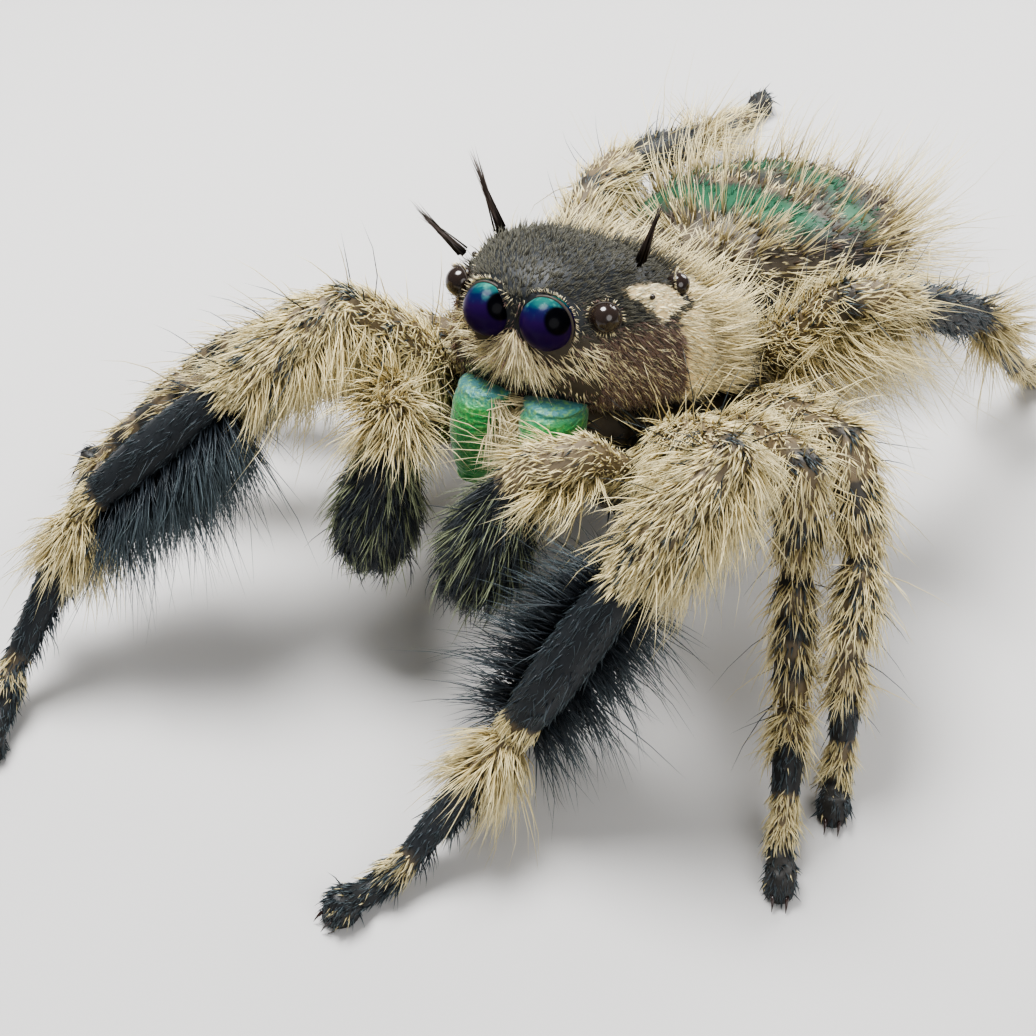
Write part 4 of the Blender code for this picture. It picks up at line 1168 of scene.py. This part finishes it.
class SPIDER_OT_leg_coats(bpy.types.Operator):
    """The hairs of the eight legs"""
    bl_idname = "spider.leg_coats"
    bl_label = "Leg coats"

    foreleg_upper = (
        Patch((0.15, 1.12), (0, 360), 340, 1, 0.30, 0.30, 0.2, 0.5, 1.6, None),
        Patch((1.05, 2.00), (-20, 200), 1400, 1, 0.27, 0.16, 0.2, 0.5, 2.2, None),
        Patch((1.10, 1.94), (-20, 200), 260, 2, 0.32, 0.26, 0.45, 0.8, 1.2, None),
        Patch((1.10, 1.96), (155, 385), 430, 4, 0.74, 0.54, 0.60, 0.8, 1.0, None),
        Patch((2.00, 2.98), (-20, 200), 1400, 1, 0.26, 0.15, 0.2, 0.5, 2.2, None),
        Patch((2.04, 2.86), (-20, 200), 260, 2, 0.30, 0.24, 0.45, 0.8, 1.2, None),
        Patch((2.04, 2.86), (155, 385), 540, 4, 0.80, 0.54, 0.62, 0.85, 1.0, None),
        Patch((1.15, 2.90), (30, 150), 34, 1, 0.95, 0.62, 0.1, 0.4, 1.0, 1.0),
        Patch((1.15, 2.90), (0, 180), 16, 1, 1.00, 0.75, 0.1, 0.4, 0.9, 0.0),
    )
    foreleg_lower = (
        Patch((2.84, 3.03), (0, 360), 130, 2, 0.26, 0.28, 0.1, 0.6, 1.6, 1.0),
        Patch((3.00, 3.96), (0, 360), 2000, 1, 0.20, 0.05, 0.0, 0.5, 1.2, 0.0),
        Patch((3.06, 3.96), (20, 160), 16, 1, 0.55, 0.60, 0.1, 0.5, 0.8, 0.0),
        Patch((3.88, 4.04), (0, 360), 150, 3, 0.24, 0.35, 0.1, 0.6, 1.3, 1.0),
        Patch((4.02, 4.34), (0, 360), 180, 4, 0.60, 0.55, 0.3, 0.8, 1.0, 1.0),
        Patch((4.02, 4.30), (190, 350), 90, 4, 0.90, 0.62, 0.4, 0.7, 1.0, 1.0),
        Patch((4.10, 5.00), (0, 360), 1100, 1, 0.16, 0.12, 0.0, 0.5, 1.4, None),
        Patch((4.34, 4.95), (200, 340), 110, 3, 0.30, 0.60, 0.2, 0.5, 1.0, 0.0),
        Patch((4.92, 5.24), (0, 360), 120, 3, 0.24, 0.35, 0.1, 0.6, 1.1, None),
        Patch((5.05, 5.93), (0, 360), 700, 1, 0.17, 0.26, 0.0, 0.5, 1.2, 0.06),
    )
    # The dark fringe of the foreleg's shin, and the angles it fills on each side
    shin_fringe = (
        Patch((3.04, 3.96), None, 780, 4, 1.02, 0.78, 0.25, 0.30, 1.0, 0.0),
        Patch((3.04, 3.60), None, 80, 3, 1.15, 0.84, 0.25, 0.30, 0.9, 0.0),
    )
    fringe_angles = {"left": (232, 388), "right": (184, 322)}
    hindleg = (
        Patch((0.15, 1.12), (0, 360), 200, 1, 0.24, 0.30, 0.2, 0.5, 1.8, None),
        Patch((1.05, 2.00), (0, 360), 950, 1, 0.24, 0.14, 0.1, 0.5, 2.4, None),
        Patch((1.15, 1.98), (0, 360), 260, 3, 0.48, 0.46, 0.35, 0.8, 1.0, 1.0),
        Patch((2.00, 2.98), (0, 360), 640, 1, 0.22, 0.12, 0.1, 0.5, 2.4, None),
        Patch((2.02, 2.94), (0, 360), 200, 2, 0.46, 0.44, 0.2, 0.8, 1.0, 1.0),
        Patch((3.02, 3.98), (0, 360), 660, 1, 0.21, 0.12, 0.1, 0.5, 2.2, None),
        Patch((4.02, 4.98), (0, 360), 500, 1, 0.18, 0.14, 0.0, 0.5, 2.0, None),
        Patch((4.04, 4.50), (0, 360), 80, 3, 0.38, 0.50, 0.2, 0.7, 1.0, 1.0),
        Patch((4.84, 5.44), (0, 360), 130, 3, 0.24, 0.36, 0.1, 0.6, 1.2, 1.0),
        Patch((5.10, 5.93), (0, 360), 420, 1, 0.16, 0.26, 0.0, 0.5, 1.2, 0.06),
        Patch((1.20, 4.40), (0, 360), 110, 1, 0.75, 0.66, 0.1, 0.5, 0.9, 1.0),
        Patch((1.20, 4.80), (0, 360), 26, 1, 0.80, 0.75, 0.1, 0.4, 0.8, 0.0),
    )
    pale_shin = (Patch((3.04, 3.96), (0, 360), 180, 2, 0.44, 0.44, 0.2, 0.7, 1.0, 1.0),)
    rear_fringe = (
        Patch((3.04, 3.96), (0, 360), 120, 2, 0.38, 0.40, 0.2, 0.7, 1.0, 0.0),
        Patch((1.30, 2.96), (205, 345), 270, 3, 1.40, 0.78, 0.45, 0.6, 0.8, 1.0),
        Patch((3.94, 4.34), (0, 360), 110, 3, 0.95, 0.60, 0.1, 0.5, 0.9, 1.0),
    )
    # Share of the hairs on the legs that stand behind the others
    shares = {"leg_2_right": 0.45, "leg_3_right": 0.45, "leg_4_right": 0.70}

    def execute(self, context):
        skin, coat, _ = settings_of(context)
        # The blue-grey tips of the leg coat are partly a painted steel-blue sheen.
        material = coat_material("spider_leg_coat", coat.slate, coat, 0.42, grey=(0.25, 0.32, 0.33))
        for number, name in enumerate(POSE):
            form = leg_form(name, skin.inset)
            if name[4] == "1":
                angles = self.fringe_angles[name[6:]]
                lower = tuple(patch._replace(a=angles) for patch in self.shin_fringe) + self.foreleg_lower
                pieces = (("_upper", self.foreleg_upper, foreleg_marks, 100, "cream_coat"),
                          ("_lower", lower, foreleg_marks, 120, "dark_coat"))
            else:
                shin, marks = ((self.rear_fringe, rearleg_marks) if name[4] == "4"
                               else (self.pale_shin, hindleg_marks))
                plan = [thinned(patch, self.shares.get(name, 1.0)) for patch in self.hindleg + shin]
                pieces = (("", plan, marks, 100, "cream_coat"),)
            for word, plan, marks, seed, slot in pieces:
                batches = grown(form, plan, marks, seed + number, coat)
                coat_piece(f"coat_{name}{word}", batches, slot, material)
        return {"FINISHED"}


class SPIDER_OT_palp_coats(bpy.types.Operator):
    """The hairs of the palps"""
    bl_idname = "spider.palp_coats"
    bl_label = "Palp coats"

    arm = (
        Patch((0.05, 3.04), (0, 360), 1400, 1, 0.20, 0.24, 0.1, 0.6, 1.5, None),
        Patch((0.30, 3.04), (0, 360), 460, 1, 0.17, 0.26, 0.1, 0.6, 1.3, 1.0),
    )
    fringe = (
        Patch((0.30, 3.00), (0, 360), 330, 2, 0.27, 0.34, 0.2, 0.7, 1.1, 1.0),
        Patch((1.85, 2.96), (0, 360), 130, 3, 0.78, 0.74, 0.1, 0.6, 1.1, 1.0),
        Patch((2.60, 3.06), (0, 360), 90, 3, 0.62, 0.60, 0.1, 0.6, 1.1, 1.0),
    )
    bulb = (
        Patch((3.05, 3.98), (0, 360), 1500, 1, 0.22, 0.12, 0.0, 0.5, 1.2, 0.0),
        Patch((3.08, 3.98), (0, 360), 440, 3, 0.38, 0.22, 0.1, 0.8, 1.0, 0.15),
        Patch((3.00, 3.85), (0, 360), 170, 3, 0.52, 0.36, 0.2, 0.8, 0.9, 0.60),
    )

    def execute(self, context):
        skin, coat, _ = settings_of(context)
        pale = coat_material("spider_palp_coat", coat.slate, coat, 0.45)
        olive = coat_material("spider_bulb_coat", coat.slate, coat, 0.45,
                              (0.17, 0.20, 0.11), (0.46, 0.50, 0.32))
        for number, word in enumerate(PALPS):
            form = palp_form(word, skin.inset)

            def low(points, q, a, form=form):
                """The left palp lies across the jaw, so no long hair stands on its upper side."""
                return (form.axes(q, a)[3][:, 2] < 0.0) | (word == "right")

            batches = grown(form, self.arm, palp_marks, 200 + number, coat)
            batches += grown(form, self.fringe, palp_marks, 210 + number, coat, low)
            coat_piece(f"coat_palp_{word}_arm", batches, "cream_coat", pale)
            batches = grown(form, self.bulb, palp_marks, 220 + number, coat)
            coat_piece(f"coat_palp_{word}_bulb", batches, "dark_coat", olive)
        return {"FINISHED"}


class SPIDER_OT_abdomen_coat(bpy.types.Operator):
    """The mottled scales and long tufts of the abdomen"""
    bl_idname = "spider.abdomen_coat"
    bl_label = "Abdomen coat"

    plan = (
        Patch((-0.006, 0.99), (0, 360), 7000, 1, 0.22, 0.14, 0.1, 0.5, 2.4, None),
        Patch((0.02, 0.98), (-40, 220), 700, 2, 0.28, 0.28, 0.0, 0.6, 1.0, None),
        Patch((0.26, 0.97), (40, 140), 90, 3, 1.05, 0.72, 0.0, 0.45, 0.9, 1.0),
        Patch((0.20, 0.97), (-25, 40), 100, 3, 1.50, 0.68, 0.0, 0.45, 0.9, 1.0),
        Patch((0.20, 0.97), (140, 205), 100, 3, 1.50, 0.68, 0.0, 0.45, 0.9, 1.0),
        Patch((0.0, 0.12), (0, 180), 84, 3, 0.85, 0.74, 0.0, 0.45, 0.9, 1.0),
        Patch((0.03, 0.97), (180, 360), 350, 2, 0.36, 0.30, 0.0, 0.6, 1.0, None),
    )

    def execute(self, context):
        skin, coat, _ = settings_of(context)
        material = coat_material("spider_abdomen_coat", coat.umber, coat, 0.45)
        form = abdomen_form(skin.inset)
        coat_piece("coat_abdomen", grown(form, self.plan, abdomen_marks, 300, coat), "body_coat", material)
        return {"FINISHED"}


class SPIDER_OT_head_coats(bpy.types.Operator):
    """The velvet crown, the cheeks, the fringe over the jaws, the eye rings and the bristle tufts"""
    bl_idname = "spider.head_coats"
    bl_label = "Head coats"

    crown = (
        Patch((-0.45, 2.28), (24, 156), 8800, 1, 0.12, 0.32, 0.0, 0.5, 1.0, 0.0),
        Patch((0.40, 2.25), (35, 145), 460, 1, 0.19, 0.80, 0.0, 0.3, 0.8, 0.0),
        Patch((1.95, 2.35), (24, 156), 460, 1, 0.30, 0.72, 0.0, 0.3, 0.8, 0.0),
        Patch((0.30, 2.20), (24, 40), 80, 1, 0.22, 0.70, 0.0, 0.3, 0.8, 0.0),
        Patch((0.30, 2.20), (140, 156), 80, 1, 0.22, 0.70, 0.0, 0.3, 0.8, 0.0),
    )
    # On each side: the cheek, the patch before the rear eye, the band behind the cheek and its long rear edge
    cheek = Patch((0.20, 1.44), (-48, 30), 3300, 1, 0.17, 0.24, 0.6, 0.5, 1.2, 0.18)
    patch = Patch((0.70, 1.75), (25, 48), 1500, 1, 0.12, 0.04, 0.2, 0.3, 2.6, 1.0)
    band = Patch((1.38, 2.50), (-30, 64), 2900, 1, 0.20, 0.13, 0.25, 0.5, 1.7, 1.0)
    edge = Patch((1.95, 2.62), (-20, 44), 270, 3, 0.58, 0.40, 0.15, 0.6, 0.9, 1.0)
    rear = (
        Patch((2.25, 4.90), (-30, 210), 2600, 1, 0.24, 0.16, 0.1, 0.5, 2.2, None),
        Patch((2.20, 4.90), (0, 180), 420, 2, 0.55, 0.42, 0.0, 0.6, 1.0, None),
        Patch((2.10, 3.20), (10, 170), 140, 3, 0.85, 0.62, 0.0, 0.5, 1.0, 1.0),
    )
    face = (
        Patch((-0.68, 0.55), (0, 360), 3000, 1, 0.11, 0.14, 0.6, 0.5, 1.6, 0.42),
    )
    fringe = (
        Patch((-0.68, 0.98), (0, 360), 1200, 2, 0.30, 0.13, 0.92, 0.5, 1.0, None),
        Patch((-0.68, 1.05), (-180, 0), 190, 3, 0.38, 0.24, 0.90, 0.5, 1.0, None),
    )
    jaw_fringe = Patch((1.14, 1.70), (176, 232), 52, 4, 0.66, 0.20, 1.0, 0.4, 1.0, 0.90)
    # Hairs in the ring round each eye
    eye_rings = (("eye_front_median", 170), ("eye_front_lateral", 50), ("eye_rear", 60))
    # Bristle tufts: root, direction, length
    tufts = (
        ((-1.02, 1.15, 0.60), (-0.60, 0.20, 0.96), 1.22),
        ((-1.32, 0.62, 0.40), (-0.80, 0.00, 0.52), 1.00),
        ((1.12, 1.25, 0.56), (0.22, 0.20, 0.87), 0.98),
    )

    def execute(self, context):
        skin, coat, _ = settings_of(context)
        form = carapace_form(skin.inset)
        # The grey tips of the crown are partly a painted sheen on the velvet.
        velvet = coat_material("spider_crown_coat", (0.050, 0.047, 0.033), coat, 0.9,
                               grey=(0.170, 0.162, 0.110), sheen=0.1)
        brown = coat_material("spider_cheek_coat", (0.190, 0.110, 0.090), coat, 0.6,
                              (0.96, 0.80, 0.45), (1.0, 0.93, 0.65), (0.38, 0.29, 0.22), 0.15)
        bristle = coat_material("spider_bristle_coat", (0.030, 0.018, 0.013), coat,
                                grey=(0.05, 0.035, 0.025))
        body = bpy.data.materials["spider_abdomen_coat"]

        dark = self.within(self.unmarked)
        batches = grown(form, self.crown, carapace_marks, 400, coat, dark)
        coat_piece("coat_crown", batches, "dark_coat", velvet)
        batches = []
        fields = ((self.cheek, dark), (self.patch, self.within(eye_patch)),
                  (self.band, self.within(side_band)), (self.edge, self.clear))
        for number, (left, where) in enumerate(fields):
            both = (left, thinned(other_side(left), 0.5))
            batches += grown(form, both, carapace_marks, 410 + number, coat, where)
        coat_piece("coat_sides", batches, "cream_coat", brown)
        coat_piece("coat_rear", grown(form, self.rear, carapace_marks, 402, coat), "body_coat", body)
        batches = grown(form, self.face, face_marks, 403, coat, self.on_face)
        batches += grown(form, self.fringe, face_marks, 404, coat, self.over_jaws, self.aslant)
        for mirror, patch in ((1, self.jaw_fringe), (-1, other_side(self.jaw_fringe))):
            batches += grown(jaw_form(mirror), (patch,), face_marks, 406, coat)
        rng = np.random.default_rng(407)
        for name, count in self.eye_rings:
            for mirror in (1, -1):
                batches.append(self.lashes(name, mirror, count, rng, coat))
        coat_piece("coat_face", batches, "cream_coat", brown)
        rng = np.random.default_rng(405)
        batches = [self.tuft(root, way, length, rng, coat) for root, way, length in self.tufts]
        coat_piece("brow_tufts", batches, "dark_coat", bristle)
        return {"FINISHED"}

    @staticmethod
    def clear(points, q, a):
        return clear_of_eyes(points)

    @classmethod
    def on_face(cls, points, q, a):
        """The face under the brow, down to the jaws."""
        _, y, z = cls.body(points)
        return (z < 0.36) & (y < 0.50) & clear_of_eyes(points)

    @classmethod
    def over_jaws(cls, points, q, a):
        """A strip under the eyes that falls towards the cheeks."""
        _, y, z = cls.body(points)
        strip = (z < -0.14 - 0.75 * np.maximum(0, y - 0.15)) & (z > -0.60 - 0.34 * np.maximum(0, y))
        return strip & (y < 0.95) & clear_of_eyes(points)

    @staticmethod
    def unmarked(q, turn):
        return ~(eye_patch(q, turn) | side_band(q, turn))

    @staticmethod
    def within(inside):
        """A mask of one of the fields, on both sides."""
        return lambda points, q, a: inside(q, height_on(a)) & clear_of_eyes(points)

    @classmethod
    def aslant(cls, points):
        """Down and away from the middle of the face."""
        x, _, _ = cls.body(points)
        return unit(1.5 * np.tanh(x / 0.4)[:, None] * AXES[0] - UP)

    @staticmethod
    def body(points):
        """Points in the body frame, as x, y and z."""
        return ((points - EYES_AT) @ AXES.T).T

    @staticmethod
    def lashes(name, mirror, count, rng, coat):
        """Short hairs in a ring round an eye, leaning outward."""
        *centre, radius = EYES[name]
        ahead = unit(np.multiply(SPIDER_OT_eyes.looks[name], (mirror, 1, 1)) @ AXES)
        side, up = across_of(ahead)
        turn = rng.uniform(0, TAU, count)
        spoke = np.cos(turn)[:, None] * side + np.sin(turn)[:, None] * up
        root = to_floor(np.multiply(centre, (mirror, 1, 1))) + spoke * radius * 1.05 - ahead * radius * 0.02
        start = unit(spoke * 0.7 + ahead * 0.9 + rng.normal(0, 0.12, (count, 3)))
        end = unit(spoke + ahead * 0.3 + rng.normal(0, 0.12, (count, 3)))
        size = radius * rng.uniform(0.14, 0.28, count) + 0.04
        shape = strands(root, start, end, size, np.cross(ahead, spoke), np.full(count, coat.thickness * 0.9),
                        0.7, 2)
        cream = (rng.uniform(0, 1, count) < 0.75).astype(float)
        batch = batch_of(shape, 2, cream, 0.0, rng.uniform(0, 1, count), np.zeros(count), turn)
        return dict(batch, high=np.full(len(batch["q"]), 0.04))

    @staticmethod
    def tuft(root, way, length, rng, coat, count=44):
        """Stiff bristles from one small disc, drawn together to a ragged point."""
        way = unit(np.array(way) @ AXES)
        apart = rng.normal(0, 0.028, (count, 3))
        start = unit(way - apart * 1.2)
        end = unit(way - apart * 1.2 + rng.normal(0, 0.075, (count, 3)))
        size = length * rng.uniform(0.45, 1.05, count)
        across = unit(np.cross(start, rng.normal(0, 1, (count, 3))))
        half = np.full(count, coat.thickness * 1.5)
        shape = strands(to_floor(root) + apart, start, end, size, across, half, 1.0, 3)
        batch = batch_of(shape, 3, 0.0, 0.0, rng.uniform(0, 1, count), np.zeros(count), np.zeros(count))
        return dict(batch, high=np.full(len(batch["q"]), 0.5))


def clear_of_eyes(points):
    """True for points outside every eye and its rim."""
    free = np.ones(len(points), bool)
    for mirror in (1, -1):
        for x, y, z, radius in EYES.values():
            # Scales cover the small middle eyes
            if radius > 0.1:
                away = np.linalg.norm(points - to_floor((x * mirror, y, z)), axis=1)
                free &= away > radius * 1.12
    return free


class SPIDER_PT_panel(bpy.types.Panel):
    """Shows the spider's settings and the buttons that build its pieces"""
    bl_label = "Jumping spider"
    bl_idname = "SPIDER_PT_panel"
    bl_space_type = "VIEW_3D"
    bl_region_type = "UI"
    bl_category = "Spider"

    def draw(self, context):
        layout = self.layout
        for group in settings_of(context):
            box = layout.box()
            for key in group.bl_rna.properties.keys():
                if key not in ("rna_type", "name"):
                    box.prop(group, key)
        for operator in OPERATORS:
            layout.operator(operator.bl_idname)


OPERATORS = (SPIDER_OT_stage, SPIDER_OT_skin, SPIDER_OT_eyes, SPIDER_OT_jaws,
             SPIDER_OT_leg_coats, SPIDER_OT_palp_coats, SPIDER_OT_abdomen_coat, SPIDER_OT_head_coats)
SETTINGS = {"spider_skin": SpiderSkin, "spider_coat": SpiderCoat, "spider_eyes": SpiderEyes}
CLASSES = (*SETTINGS.values(), *OPERATORS, SPIDER_PT_panel)


def register():
    for item in CLASSES:
        bpy.utils.register_class(item)
    for name, group in SETTINGS.items():
        setattr(bpy.types.Scene, name, bpy.props.PointerProperty(type=group))


def unregister():
    for name in SETTINGS:
        delattr(bpy.types.Scene, name)
    for item in reversed(CLASSES):
        bpy.utils.unregister_class(item)


def main():
    register()
    marking_group()
    bpy.ops.spider.stage()
    bpy.ops.spider.skin()
    bpy.ops.spider.eyes()
    bpy.ops.spider.jaws()
    bpy.ops.spider.leg_coats()
    bpy.ops.spider.palp_coats()
    bpy.ops.spider.abdomen_coat()
    bpy.ops.spider.head_coats()


if __name__ == "__main__":
    main()
